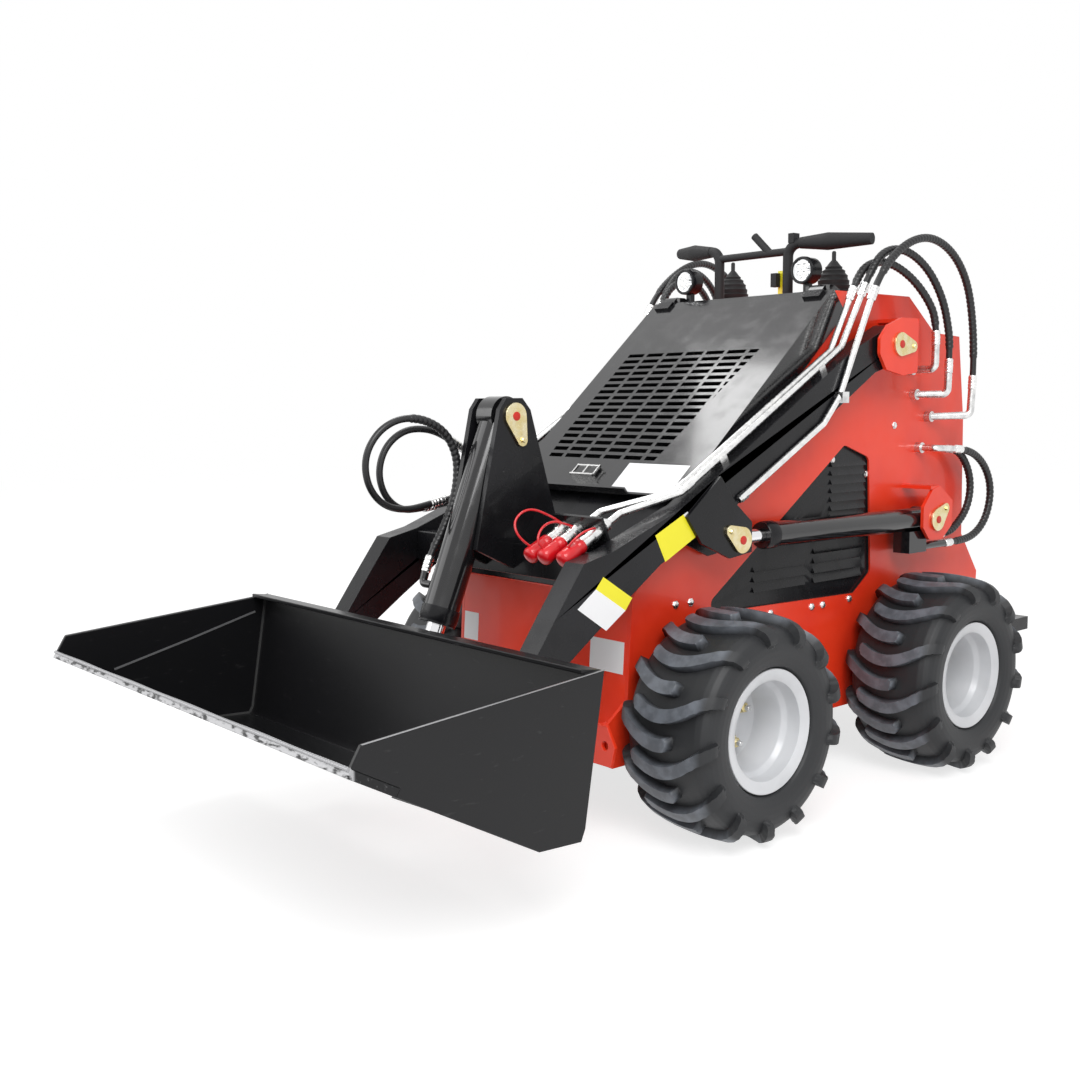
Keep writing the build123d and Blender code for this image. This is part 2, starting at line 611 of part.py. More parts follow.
boot_x, boot_station = 155.0, 270.0
boot_profile = ((0, 0), (42, 0), (40, 34), (34, 64), (22, 84), (0, 92))      # radius and height over the deck
stem_radius, stem_top = 5.0, deck_top + 115
with BuildPart() as control_levers:
    for side, sign in sides:
        with BuildSketch(Plane.XZ.offset(-(boot_station + mid_y))) as boot:
            Polygon(*[(sign * (boot_x + r), deck_top + z) for r, z in boot_profile], align=None)
        revolve(boot.sketch, axis=Axis((sign * boot_x, boot_station + mid_y, 0), (0, 0, 1)))
        bar((sign * boot_x, boot_station, deck_top + 80), (sign * boot_x, boot_station, stem_top), stem_radius)
save(control_levers.part, "control_levers")

lamp_x, lamp_station, lamp_z = 180.0, 117.0, deck_top + 59
lamp_radius, lamp_depth = 30.0, 34.0
with BuildPart() as work_lamps:
    for side, sign in sides:
        with BuildSketch(Plane.XZ.offset(-(lamp_station + mid_y))) as lamp:
            with Locations((sign * lamp_x, lamp_z)):
                Circle(lamp_radius)
        extrude(lamp.sketch, amount=-lamp_depth)
        slab([(130, deck_top), (144, deck_top), (144, lamp_z - 20), (130, lamp_z - 20)],
             sign * (lamp_x - 8), sign * (lamp_x + 8))
save(work_lamps.part, "work_lamps")

# Couplers: three quick couplers with red dust caps, in a bracket on the left arm -----------------------------
coupler_x = (arm_inner - 112, arm_inner - 73, arm_inner - 19)
coupler_rear, coupler_front, cap_front = (-585.0, 633.0), (-650.0, 599.0), (-705.0, 569.0)
coupler_radius, cap_radius = 12.0, 16.0
with BuildPart() as quick_couplers:
    for x in coupler_x:
        bar((x, *coupler_rear), (x, *coupler_front), coupler_radius)
        bar((x, *coupler_front), (x, *cap_front), cap_radius)
save(quick_couplers.part, "quick_couplers")
with BuildPart() as coupler_bracket:
    slab([(-595, 582), (-622, 645), (-616, 648), (-588, 582)], arm_inner - 136, arm_inner)
    for x in coupler_x:
        bar((x, *coupler_rear), (x, *coupler_front), coupler_radius + running_gap, Mode.SUBTRACT)
save(coupler_bracket.part, "coupler_bracket")

# Arm tubes: steel lines on the arms, from the rear hoses to the unions and to the knee ----------------------
tube_radius = 7.0
tube_lines = (
    # X of the line, then its points as station and height, from the rear hose on
    (arm_x - 16, (136, 1084), (72, 972), (-398.7, 703.8)),
    (arm_x + 2, (154, 1092), (86, 980), (-398.7, 703.8)),
    (arm_outer + 8, (148, 1082), (40, 872), (-16, 813), (-288, 667)),
)
with BuildPart() as arm_tubes:
    for side, sign in sides:
        for x, *points in tube_lines:
            bent_rod([(sign * x, *point) for point in points], tube_radius, 16)
save(arm_tubes.part, "arm_tubes")

# Coupler tubes: two short lines with a union nut each, from the left arm's tubes down to the couplers --------
tube_knee = (-430.0, 686.0)
tube_run = 36.0              # straight run into each coupler
union_radius, union_length = 8.5, 24.0
with BuildPart() as coupler_tubes:
    for (x, *_, union), x_end in zip(tube_lines, coupler_x[1:]):
        run_in = along(coupler_rear, coupler_front, -tube_run)
        bent_rod([(x, *union), (x, *tube_knee), (x_end, *run_in), (x_end, *coupler_rear)], tube_radius, 16)
        bar((x, *union), (x, *along(union, tube_knee, union_length)), union_radius)
save(coupler_tubes.part, "coupler_tubes")

# Hose fittings: steel elbows on the side plates -------------------------------------------------------------
fittings = (
    # station and height on the side plate, elbow and upper end as X, station and height
    ((415, 934), (body_half + 70, 419, 934), (body_half + 70, 420, 990)),
    ((434, 875), (body_half + 75, 468, 875), (body_half + 75, 470, 925)),
    ((500, 821), (body_half + 76, 572, 824), (body_half + 76, 577, 886)),
)
port_foot, port_end = (461.0, 746.0), (540.0, 742.0)
with BuildPart() as hose_fittings:
    for side, sign in sides:
        for foot, elbow, top in fittings:
            disc(foot, 13, sign * body_half, sign * (body_half + 16))
            bent_rod([(sign * (body_half + 10), *foot), (sign * elbow[0], *elbow[1:]), (sign * top[0], *top[1:])],
                     9, 14)
        disc(port_foot, 13, sign * body_half, sign * (body_half + 16))
        for x, port_height in lift_ports:
            bent_rod([(sign * body_half, *port_foot), (sign * x, *port_foot), (sign * x, *port_end)], 8, 10)
save(hose_fittings.part, "hose_fittings")


# Hoses: straight runs joined by arcs as large as their runs allow --------------------------------------------
def hose(name, route, radius=hose_radius):
    """Adds a hose along a route of (X, station, height) points, and prints its length and tightest bend."""
    points = [Vector(x, *at(s, h)) for x, s, h in route]
    runs = [b - a for a, b in zip(points, points[1:])]
    radii = []
    for before, after in zip(runs, runs[1:]):
        turn = radians(before.get_angle(after))
        radii.append(0.45 * min(before.length, after.length) / tan(turn / 2))
    with BuildLine() as path:
        FilletPolyline(*points, radius=radii)
    wire = path.wires()[0]
    with BuildSketch(Plane(origin=points[0], z_dir=runs[0])) as section:
        Circle(radius)
    sweep(section.sketch, path=wire)
    print(f"{name}: length {wire.length:.0f}, tightest bend {min(radii):.0f}, radii",
          [round(r) for r in radii], "runs", [round(r.length) for r in runs])


rear_routes = (
    # the bends between the hose's straight ends, from the arm tube to the fitting
    [(340, 272, 1212), (345, 370, 1240), (349, 465, 1212), (348, 538, 1145), (346, 572, 1050)],
    [(313, 237, 1199), (319, 315, 1208), (330, 392, 1170), (342, 442, 1100), (345, 467, 1025)],
    [(294, 209, 1170), (301, 272, 1178), (314, 338, 1152), (330, 388, 1105)],
)
for side, sign in sides:
    for index, (line, bends, fitting) in enumerate(zip(tube_lines[::-1], rear_routes, fittings[::-1]), 1):
        x_tube, tube_end, tube_bend, *_ = line
        foot, elbow, top = fitting
        route = [
            (x_tube, *tube_end), (x_tube, *along(tube_end, tube_bend, -62)), *bends,
            (top[0], *along(top[1:], elbow[1:], -60)), top,
        ]
        name = f"rear_hose_{side}_{index}"
        with BuildPart() as rear_hose:
            hose(name, [(sign * x, s, h) for x, s, h in route])
        save(rear_hose.part, name)

lift_routes = (
    [(650, 722), (698, 685), (722, 635), (712, 580), (680, 540), (630, 517)],
    [(628, 715), (658, 675), (665, 630), (648, 585), (610, 553)],
)
for side, sign in sides:
    for index, ((x, port_height), bends) in enumerate(zip(lift_ports, lift_routes), 1):
        start = [port_end, along(port_end, port_foot, -50)]
        route = [*start, *bends, (565, port_height), (505, port_height)]
        name = f"lift_hose_{side}_{index}"
        with BuildPart() as lift_hose:
            hose(name, [(sign * x, s, h) for s, h in route])
        save(lift_hose.part, name)

tilt_hoses = (
    # the outer loop runs from the tower's lower port to the barrel, the inner one back to the tower's top port
    [(-104, -700, 664), (-104, -745, 655), (-102, -800, 648), (-99, -855, 662), (-95, -892, 704),
     (-90, -900, 760), (-85, -872, 808), (-80, -824, 834), (-75, -768, 832), (-70, -718, 806),
     (-66, -692, 758), (-63, -694, 702), (-61, -712, 650), (-60, -738, 602), (-60, -760, 570),
     (-60, -772, 547), (-60, -780, 525)],
    [(-130, -700, 652), (-130, -738, 646.6), (-127, -791, 646), (-122, -834, 677), (-118, -851, 727),
     (-114, -835, 778), (-110, -792, 810), (-106, -738, 812), (-104, -690, 794), (-104, -652, 770)],
)
tower_port_radius = 8.0
tower_ports = (
    # the bent tubes' elbow at the tower, up to where their hose starts
    ((-104, -651, 673.8), tilt_hoses[0][0]),
    ((-130, -625, 662.7), tilt_hoses[1][0]),
    ((-104, -625, 752.95), tilt_hoses[1][-1]),
)
with BuildPart() as tower_fittings:
    for elbow, end in tower_ports:
        bent_rod([(-tower_outer, *elbow[1:]), elbow, end], tower_port_radius, 9)
save(tower_fittings.part, "tower_fittings")
for index, route in enumerate(tilt_hoses, 1):
    name = f"tilt_hose_{index}"
    with BuildPart() as tilt_hose:
        hose(name, route, tilt_hose_radius)
    save(tilt_hose.part, name)
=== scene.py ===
import json
import math

import bmesh
import bpy
import numpy as np
from mathutils import Matrix

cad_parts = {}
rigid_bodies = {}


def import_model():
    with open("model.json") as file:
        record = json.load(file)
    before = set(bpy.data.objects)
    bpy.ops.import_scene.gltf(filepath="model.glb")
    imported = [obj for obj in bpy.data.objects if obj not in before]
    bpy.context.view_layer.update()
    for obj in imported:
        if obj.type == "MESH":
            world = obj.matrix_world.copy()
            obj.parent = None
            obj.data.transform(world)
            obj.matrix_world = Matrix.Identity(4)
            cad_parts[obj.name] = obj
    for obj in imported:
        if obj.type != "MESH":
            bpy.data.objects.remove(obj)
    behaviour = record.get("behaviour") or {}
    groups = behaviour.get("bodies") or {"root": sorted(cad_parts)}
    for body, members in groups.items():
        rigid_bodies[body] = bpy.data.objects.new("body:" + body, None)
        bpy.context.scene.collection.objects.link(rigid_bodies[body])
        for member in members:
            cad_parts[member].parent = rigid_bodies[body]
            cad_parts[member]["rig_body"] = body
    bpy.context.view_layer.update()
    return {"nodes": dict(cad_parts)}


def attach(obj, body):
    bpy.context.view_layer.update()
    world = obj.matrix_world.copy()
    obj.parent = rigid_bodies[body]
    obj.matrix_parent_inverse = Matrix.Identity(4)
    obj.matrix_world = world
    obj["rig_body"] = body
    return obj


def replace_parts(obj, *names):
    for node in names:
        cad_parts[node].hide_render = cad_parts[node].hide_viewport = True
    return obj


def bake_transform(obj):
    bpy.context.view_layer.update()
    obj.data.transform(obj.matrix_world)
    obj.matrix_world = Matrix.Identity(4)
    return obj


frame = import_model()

# Chassis --------------------------------------------------------------------------------------------------
# Side plates, ears, front, rear and deck are laser-cut 8 mm steel plate, folded and welded into one frame.
# It is sprayed in a gloss red-orange enamel; the lower hood plate is sprayed black before it is bolted on.
MID_Y = 133.0                  # where the middle between the axles lies, in millimetres
CREASE = math.radians(32)      # faces that meet at more than this make a sharp edge


class Signal:
    """A shader socket in plain arithmetic: each operator adds the Math node that works it out."""

    def __init__(self, tree, socket):
        self.tree, self.socket = tree, socket

    def math(self, operation, *terms):
        step = self.tree.nodes.new("ShaderNodeMath")
        step.operation = operation
        for place, term in zip(step.inputs, terms):
            if isinstance(term, Signal):
                self.tree.links.new(term.socket, place)
            else:
                place.default_value = term
        return Signal(self.tree, step.outputs[0])

    def least(self, other):
        return self.math("MINIMUM", self, other)

    def most(self, other):
        return self.math("MAXIMUM", self, other)

    def size(self):
        return self.math("ABSOLUTE", self)

    def __add__(self, other):
        return self.math("ADD", self, other)

    def __sub__(self, other):
        return self.math("SUBTRACT", self, other)

    def __rsub__(self, other):
        return self.math("SUBTRACT", other, self)

    def __mul__(self, other):
        return self.math("MULTIPLY", self, other)

    __radd__ = __add__
    __rmul__ = __mul__


class Finish:
    """A coat or bare surface: one Principled material, whose fixed values stand on the shader itself."""

    def __init__(self, name, **fixed):
        self.material = bpy.data.materials.new(name)
        self.material.use_nodes = True
        self.tree = self.material.node_tree
        self.shader = self.tree.nodes["Principled BSDF"]
        for key, value in fixed.items():
            self.shader.inputs[key.replace("_", " ")].default_value = value

    def node(self, kind, settings, values, output=0):
        """Adds a node: its settings first, ramp stops among them, then the value or link of each socket."""
        made = self.tree.nodes.new(kind)
        for key, value in settings.items():
            if key == "stops":
                ramp = made.color_ramp
                while len(ramp.elements) < len(value):
                    ramp.elements.new(0.5)
                for element, (position, colour) in zip(ramp.elements, value):
                    element.position, element.color = position, colour
            else:
                setattr(made, key, value)
        for key, value in values.items():
            if isinstance(value, Signal):
                self.tree.links.new(value.socket, made.inputs[key])
            else:
                made.inputs[key].default_value = value
        return Signal(self.tree, made.outputs[output])

    def place(self):
        """The point on the piece, in metres in the part's own frame."""
        return self.node("ShaderNodeTexCoord", {}, {}, "Object")

    def axis(self, letter):
        """One coordinate of that point."""
        return self.node("ShaderNodeSeparateXYZ", {}, {0: self.place()}, letter)

    def noise(self, scale, detail=3.0, stretch=(1, 1, 1)):
        """Cloudy noise about 0.5, with so many waves a metre, drawn out along the axes by the stretch."""
        along = self.node("ShaderNodeMapping", {}, {"Vector": self.place(), "Scale": stretch})
        return self.node("ShaderNodeTexNoise", {}, {"Vector": along, "Scale": scale, "Detail": detail})

    def ramp(self, value, low, high):
        """0 below low, 1 above high and a smooth rise between them."""
        return self.node("ShaderNodeMapRange", {"interpolation_type": "SMOOTHSTEP"},
                         {"Value": value, "From Min": low, "From Max": high})

    def mix(self, factor, a, b):
        """Colour a turned into colour b by the factor."""
        return self.node("ShaderNodeMix", {"data_type": "RGBA"}, {0: factor, 6: a, 7: b}, 2)

    def feed(self, **links):
        """Links what changes over the surface to the shader's sockets."""
        for key, value in links.items():
            self.tree.links.new(value.socket, self.shader.inputs[key.replace("_", " ")])

    def relief(self, height, distance):
        """Tilts the surface's normal by a height map, whose 0 to 1 stands for the distance in metres."""
        self.feed(Normal=self.node("ShaderNodeBump", {}, {
            "Strength": 1.0, "Distance": distance, "Height": height}))


def colour(red, green, blue):
    """A linear colour with full cover."""
    return (red, green, blue, 1.0)


def coat(name, base, dark, roughness, gloss, grain):
    """Sprayed enamel: its colour sinks a little towards dark in soft clouds, and its skin ripples."""
    finish = Finish(name, Coat_Weight=gloss, Coat_Roughness=0.06)
    cloud = finish.ramp(finish.noise(7.0), 0.35, 0.75)
    finish.feed(Base_Color=finish.mix(cloud, base, dark),
                Roughness=roughness + 0.12 * finish.ramp(finish.noise(23.0), 0.4, 0.8))
    finish.relief(finish.noise(420.0, 1.0), grain)
    return finish


def paint(finish, *nodes):
    """Gives CAD solids a finish as they are."""
    for name in nodes:
        slots = frame["nodes"][name].data.materials
        slots.clear()
        slots.append(finish.material)


def fit(obj, finish, body, slot):
    """Finishes one new piece and fixes it to the body that it moves with."""
    obj.data.materials.clear()
    obj.data.materials.append(finish.material)
    if body:
        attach(obj, body)
    return obj


def softened(finish, slot, *nodes, width=0.0014):
    """Stands in for CAD solids: their loose triangles merged into faces, with the sharp edges rounded."""
    for name in nodes:
        node = frame["nodes"][name]
        mesh = node.data.copy()
        work = bmesh.new()
        work.from_mesh(mesh)
        bmesh.ops.remove_doubles(work, verts=work.verts, dist=2e-6)
        bmesh.ops.dissolve_limit(work, angle_limit=0.004, verts=work.verts, edges=work.edges)
        work.to_mesh(mesh)
        work.free()
        custom = mesh.attributes.get("custom_normal")
        if custom:
            mesh.attributes.remove(custom)
        mesh.shade_smooth()
        mesh.set_sharp_from_angle(angle=CREASE)
        piece = bpy.data.objects.new(f"{name}_finished", mesh)
        bpy.context.scene.collection.objects.link(piece)
        rounding = piece.modifiers.new("edges", "BEVEL")
        rounding.width, rounding.segments, rounding.limit_method = width, 2, "ANGLE"
        rounding.angle_limit, rounding.harden_normals = CREASE, True
        fit(piece, finish, node["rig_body"], slot)
        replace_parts(piece, name)


def painted_inner_shade(finish):
    """1 on faces inside the body, 0 outside it; there the red is painted dark, as painted shade. A point lies
    inside by the least of its distances, in metres, from the middles of the side plates, front panel, rear
    panel, hood and deck."""
    station, height = finish.axis("Y") - MID_Y * 0.001, finish.axis("Z")
    deck = (1.3947 - 0.7257 * station).most(1.007).least(1.095)        # level, down a slope, level again
    rear = (0.7822 - 0.1515 * height).least(0.681 - 0.0271 * height)   # two flats that lean in
    walls = [0.266 - finish.axis("X").size(), station + 0.505, rear - station,
             1.0078 + 0.8676 * station - height, deck - height]
    depth = walls[0]
    for wall in walls[1:]:
        depth = depth.least(wall)
    return finish.ramp(depth, 0.0, 0.001)


DARK = colour(0.012, 0.012, 0.013)
red_enamel = coat("red_enamel", colour(0.86, 0.045, 0.012), colour(0.78, 0.032, 0.010), 0.32, 0.18, 0.00003)
outside = Signal(red_enamel.tree, red_enamel.shader.inputs["Base Color"].links[0].from_socket)
# The faces inside the body are painted near black: painted shade for the dark inside behind the slots and
# vents.
red_enamel.feed(Base_Color=red_enamel.mix(painted_inner_shade(red_enamel), outside, DARK))
BLACK = colour(0.006, 0.006, 0.007)
black_enamel = coat("black_enamel", BLACK, colour(0.010, 0.010, 0.012), 0.24, 0.10, 0.00003)
black_enamel.shader.inputs["Specular IOR Level"].default_value = 0.22
gloss_black = coat("gloss_black", BLACK, colour(0.009, 0.009, 0.010), 0.13, 0.35, 0.00002)
softened(red_enamel, "red_paint", "side_plate_left", "side_plate_right", "front_panel", "rear_panel",
         "top_deck", "belly_pan")
softened(black_enamel, "black_paint", "lower_hood")

# Chassis bolts --------------------------------------------------------------------------------------------
# Zinc-plated hexagon bolts with washers hold the vent panels and the inner brackets to the side plates.
# Each head is turned from bar and cold-forged to a hexagon.
HEAD_RADIUS, HEAD_HEIGHT, WASHER_RADIUS = 6.6, 5.2, 9.0
SIDE_BOLTS = [  # X of the face, station, height
    (270, -400, 455), (270, -355, 455), (270, 51, 399), (270, 92, 399), (270, 362, 802),
    (270, -96, 401), (270, 194, 402), (262, -3, 715), (262, 129, 728), (262, 262, 690),
]


def metres(x, station, height):
    """Points in the part's frame, from millimetres across, along the wheelbase and above the ground."""
    x, station, height = np.broadcast_arrays(x, station, height)
    return np.stack([x, station + MID_Y, height], -1) * 0.001


def frame_of(axis):
    """Two unit vectors square to an axis and to each other, which make a right-handed set with it."""
    axis = np.asarray(axis, float) / np.linalg.norm(axis)
    side = np.cross(axis, (0.0, 0.0, 1.0) if abs(axis[2]) < 0.9 else (1.0, 0.0, 0.0))
    side /= np.linalg.norm(side)
    return axis, side, np.cross(axis, side)


def turned(profile, centre, axis, sides=32):
    """A profile of (distance along the axis, radius) spun round it: each ring is the centre, plus its
    distance along the axis, plus its radius times the cosine and sine of the turn on two square vectors."""
    axis, u, v = frame_of(axis)
    reach, radius = np.asarray(profile, float).T[:, :, None] * 0.001
    turn = np.arange(sides) * 2 * np.pi / sides
    return (np.asarray(centre) + reach[..., None] * axis
            + (radius * np.cos(turn))[..., None] * u + (radius * np.sin(turn))[..., None] * v)


def piece(name, grids, smooth=40.0, panels=()):
    """One mesh from grids of points that close on themselves across their rows, and from flat panels, each
    two outlines joined by walls. Merging equal points closes poles and seams, and all faces face out."""
    points, faces, count = [], [], 0
    for grid in grids:
        rows, sides = grid.shape[:2]
        at = count + np.arange(rows * sides).reshape(rows, sides)
        on = np.roll(at, -1, 1)
        faces += np.stack([at[:-1], on[:-1], on[1:], at[1:]], -1).reshape(-1, 4).tolist()
        points.append(grid.reshape(-1, 3))
        count += rows * sides
    for low, high in panels:
        sides = len(low)
        at = count + np.arange(sides)
        faces += [at[::-1].tolist(), (at + sides).tolist()]
        faces += np.stack([at, np.roll(at, -1), np.roll(at, -1) + sides, at + sides], -1).tolist()
        points += [low, high]
        count += 2 * sides
    mesh = bpy.data.meshes.new(name)
    mesh.from_pydata(np.concatenate(points), [], faces)
    work = bmesh.new()
    work.from_mesh(mesh)
    bmesh.ops.remove_doubles(work, verts=work.verts, dist=1e-6)
    bmesh.ops.recalc_face_normals(work, faces=work.faces)
    work.to_mesh(mesh)
    work.free()
    mesh.shade_smooth()
    mesh.set_sharp_from_angle(angle=math.radians(smooth))
    made = bpy.data.objects.new(name, mesh)
    bpy.context.scene.collection.objects.link(made)
    return made


def plated(name, base, dark, roughness):
    """Electroplated steel: cloudy between two tones, with fine drawn lines in its gloss."""
    finish = Finish(name, Metallic=1.0)
    cloud = finish.ramp(finish.noise(60.0), 0.35, 0.7)
    finish.feed(Base_Color=finish.mix(cloud, base, dark),
                Roughness=roughness + 0.18 * finish.ramp(finish.noise(150.0), 0.35, 0.75))
    return finish


zinc = plated("zinc_plate", colour(0.80, 0.80, 0.79), colour(0.60, 0.60, 0.60), 0.22)
HEAD = [(0, 0), (0, WASHER_RADIUS), (1.4, WASHER_RADIUS), (1.4, HEAD_RADIUS),
        (HEAD_HEIGHT - 0.8, HEAD_RADIUS), (HEAD_HEIGHT, HEAD_RADIUS - 1.2), (HEAD_HEIGHT, 0)]
bolts = [turned(HEAD, metres(sign * x, station, height), (sign, 0, 0), 6)
         for x, station, height in SIDE_BOLTS for sign in (-1, 1)]
fit(piece("chassis_bolts", bolts), zinc, "chassis", "zinc")

# Vent panels ----------------------------------------------------------------------------------------------
# Thin black sheet behind the window of each side plate, with banks of pressed louvres that breathe for the
# engine. Each louvre slopes out to a lip and is open below it.
softened(black_enamel, "black_paint", "vent_panels", width=0.0004)

# Engine ---------------------------------------------------------------------------------------------------
# The engine and pump stand on two feet inside the frame, and the wheel motors are bolted through its sides.
# All are castings under a dull dark coat; through the hood's slots only the engine's bulk shows.
cast = coat("dull_casting", colour(0.030, 0.030, 0.031), colour(0.05, 0.048, 0.045), 0.60, 0.0, 0.0002)
paint(cast, "engine_block", "wheel_motors")

# Hood -----------------------------------------------------------------------------------------------------
# One slanted sheet with rows of laser-cut slots and folded sides, in glossy black, hinged at its top. A zinc
# toggle latch holds its low end down, beside a blank white label.
HOOD_LOW, HOOD_SLOPE = np.array([-391.0, 668.6]), math.atan2(1105 - 668.6, 112 + 391)
HOOD_ALONG = np.array([math.cos(HOOD_SLOPE), math.sin(HOOD_SLOPE)])
HOOD_OUT = np.array([-math.sin(HOOD_SLOPE), math.cos(HOOD_SLOPE)])
LATCH_X = (-70.0, 2.0)


def sheet(x, upwards, out):
    """Points on the hood: across it, up its slope from the low edge, and out from its underside."""
    spot = HOOD_LOW + np.outer(upwards, HOOD_ALONG) + np.outer(out, HOOD_OUT)
    return metres(np.asarray(x, float), spot[:, 0], spot[:, 1])


def block(place, low, high):
    """A box between two corners, whose points are put in place by a function of three coordinates."""
    x = np.array([low[0], high[0], high[0], low[0]])
    y = np.array([low[1], low[1], high[1], high[1]])
    return place(x, y, np.full(4, low[2])), place(x, y, np.full(4, high[2]))


softened(gloss_black, "black_paint", "hood_panel", "hood_hinge", width=0.0008)
label_white = Finish("label_white", Base_Color=colour(0.86, 0.86, 0.87), Roughness=0.3)
label_yellow = Finish("label_yellow", Base_Color=colour(0.86, 0.78, 0.02), Roughness=0.3)
fit(piece("hood_label", [], panels=[block(sheet, (67, 5, 5), (242, 90, 5.4))]), label_white, "hood", "zinc")
latch = [block(sheet, (LATCH_X[0], low, 5), (LATCH_X[1], low + 4, top)) for low, top in ((34, 21), (64, 17))]
latch += [block(sheet, (x, 34, 14), (x + 4, 68, 18)) for x in (LATCH_X[0], -36, LATCH_X[1] - 4)]
fit(piece("hood_latch", [], panels=latch), zinc, "hood", "zinc")

# Pins -----------------------------------------------------------------------------------------------------
# Each hardened pin has a laser-cut flag welded to its end, which one small bolt keeps from turning. Pin and
# flag are passivated to a yellow gold, and a dab of red paint marks the middle of each pin.
gold = plated("yellow_zinc", colour(0.72, 0.60, 0.30), colour(0.80, 0.72, 0.48), 0.25)
softened(gold, "yellow_zinc", "chassis_pins", "arm_pins", width=0.001)
PINS = [  # body, signs of X, X of the flag's outer face, station and height of the pin and of the flag's bolt
    ("chassis", (-1, 1), 356, (257, 988), (305, 984)),
    ("chassis", (-1, 1), 356, (429, 577), (462, 602)),
    ("arms", (-1, 1), 349, (-284, 583), (-321, 603)),
    ("arms", (1,), 56, (-634, 836), (-618, 788)),
]
red_mark = Finish("red_mark", Base_Color=colour(0.55, 0.02, 0.01), Roughness=0.45)
MARKS = [  # name, finish, slot, whether at the pin (0) or at the bolt (1), radius, thickness, sides
    ("pin_marks", red_mark, "red_paint", 0, 9.0, 1.6, 20),
    ("pin_bolts", gold, "yellow_zinc", 1, 5.5, 4.0, 6),
]
for title, finish, slot, which, radius, thick, sides in MARKS:
    button = [(0, 0), (0, radius), (thick * 0.6, radius), (thick, radius * 0.7), (thick, 0)]
    for body in ("chassis", "arms"):
        made = [turned(button, metres(sign * x, *spots[which]), (sign, 0, 0), sides)
                for owner, signs, x, *spots in PINS if owner == body for sign in signs]
        fit(piece(f"{title}_{body}", made), finish, body, slot)

# Arms -----------------------------------------------------------------------------------------------------
# Two welded box arms in black enamel, bent down at the knee, with a plate on each face for the lift
# cylinder's eye. Two blank labels in yellow and white are stuck on the outer face of each.
ARM_FACE = 335.0               # X of that face
softened(black_enamel, "black_paint", "arm_left", "arm_right", "cross_tube", "coupler_bracket", width=0.0025)
softened(black_enamel, "black_paint", "tilt_tower", width=0.002)
ARM_LABELS = [  # corners as station and height: the yellow part, then the white one
    ([(-664, 544), (-589, 497), (-607, 475), (-683, 523)],
     [(-683, 523), (-607, 475), (-657, 443), (-729, 491)]),
    ([(-527, 610), (-449, 645), (-408, 601), (-499, 557)],
     [(-449, 645), (-437, 650), (-397, 606), (-408, 601)]),
]


def plaque(corners, face, thickness):
    """A flat label on an upright face across the machine: its corners at the face and again out from it."""
    station, height = np.array(corners, float).T
    return metres(face, station, height), metres(face + thickness, station, height)


for finish, slot, part in ((label_yellow, "yellow_zinc", 0), (label_white, "zinc", 1)):
    made = [plaque(label[part], sign * ARM_FACE, sign * 0.4) for label in ARM_LABELS for sign in (-1, 1)]
    fit(piece(f"arm_labels_{part}", [], panels=made), finish, "arms", slot)

# Front labels ---------------------------------------------------------------------------------------------
# Two blank white labels of thin film, one at each side of the bucket's linkage. They are stuck on the slanted
# front panel.
FRONT_LABELS = [(158, 328, 254, 392), (-258, 331, -208, 393)]  # low and high corner, as X and height


def panel_face(x, height, out):
    """Points over the front panel, whose face leans back 13 in 201."""
    return metres(x, -536 + (height - 279) * 13 / 201 - out, height)


made = [block(panel_face, (x, low, 0), (x_end, high, 0.5)) for x, low, x_end, high in FRONT_LABELS]
fit(piece("front_labels", [], panels=made), label_white, "chassis", "zinc")

# Cylinders ------------------------------------------------------------------------------------------------
# Honed tubes with welded eyes, in black enamel. The rods are ground and hard-chromed, and slide out of a
# screwed gland with a wiper ring.
softened(gloss_black, "black_paint", "lift_barrel_left", "lift_barrel_right", "tilt_barrel")
chrome = Finish("hard_chrome", Base_Color=colour(0.82, 0.82, 0.83), Metallic=1.0)
chrome.feed(Roughness=0.08 + 0.06 * chrome.ramp(chrome.noise(90.0), 0.4, 0.8))
softened(chrome, "chrome_rod", "lift_rod_left", "lift_rod_right", "tilt_rod")
GLAND_LENGTH = 34
GLANDS = [  # body, X, barrel's pin, rod's eye, barrel length, barrel radius
    ("lift_barrel_left", 310, (429, 577), (-284, 583), 610, 27),
    ("lift_barrel_right", -310, (429, 577), (-284, 583), 610, 27),
    ("tilt_barrel", 0, (-634, 836), (-838, 330), 440, 36),
]
for body, x, pin, eye, length, radius in GLANDS:
    way = np.array(eye, float) - pin
    way /= np.linalg.norm(way)
    start = np.array(pin) + way * (length - GLAND_LENGTH)
    rings = [(0, radius), (0, radius + 2.5), (26, radius + 2.5), (28, radius + 1), (33, radius + 1),
             (GLAND_LENGTH, radius)]
    gland = piece(f"gland_{body}", [turned(rings, metres(x, *start), (0, *way), 48)])
    fit(gland, black_enamel, body, "black_paint")

# Bucket ---------------------------------------------------------------------------------------------------
# Bent and welded 8 mm plate in a satin black, faintly scuffed, with a thicker cutting edge welded along the
# lip. The front of the edge and the corner welds show worn steel, and a thin strip of light steel along the
# top edge of each side is a painted highlight.
satin_black = Finish("bucket_black", Coat_Weight=0.08, Coat_Roughness=0.2, Specular_IOR_Level=0.25)
scuff = satin_black.ramp(satin_black.noise(30.0, 6.0, (1, 1, 4)), 0.64, 0.80)
satin_black.feed(
    Base_Color=satin_black.mix(0.22 * scuff, colour(0.007, 0.007, 0.008), colour(0.09, 0.09, 0.09)),
    Roughness=0.32 + 0.2 * scuff)
satin_black.relief(satin_black.noise(240.0, 2.0), 0.00008)
softened(satin_black, "black_paint", "bucket_shell", "attach_plate", width=0.0018)
BUCKET_HALF, BUCKET_INSIDE = 550.0, 542.0
LIP_STATION, EDGE_REAR = -1356.0, (-1275.4, 312.6)
worn_steel = Finish("worn_steel", Metallic=0.5)
behind_lip = worn_steel.axis("Y") - (LIP_STATION + MID_Y) * 0.001
scraped = worn_steel.ramp(worn_steel.noise(45.0, 5.0, (1, 3, 3)), 0.36, 0.52)
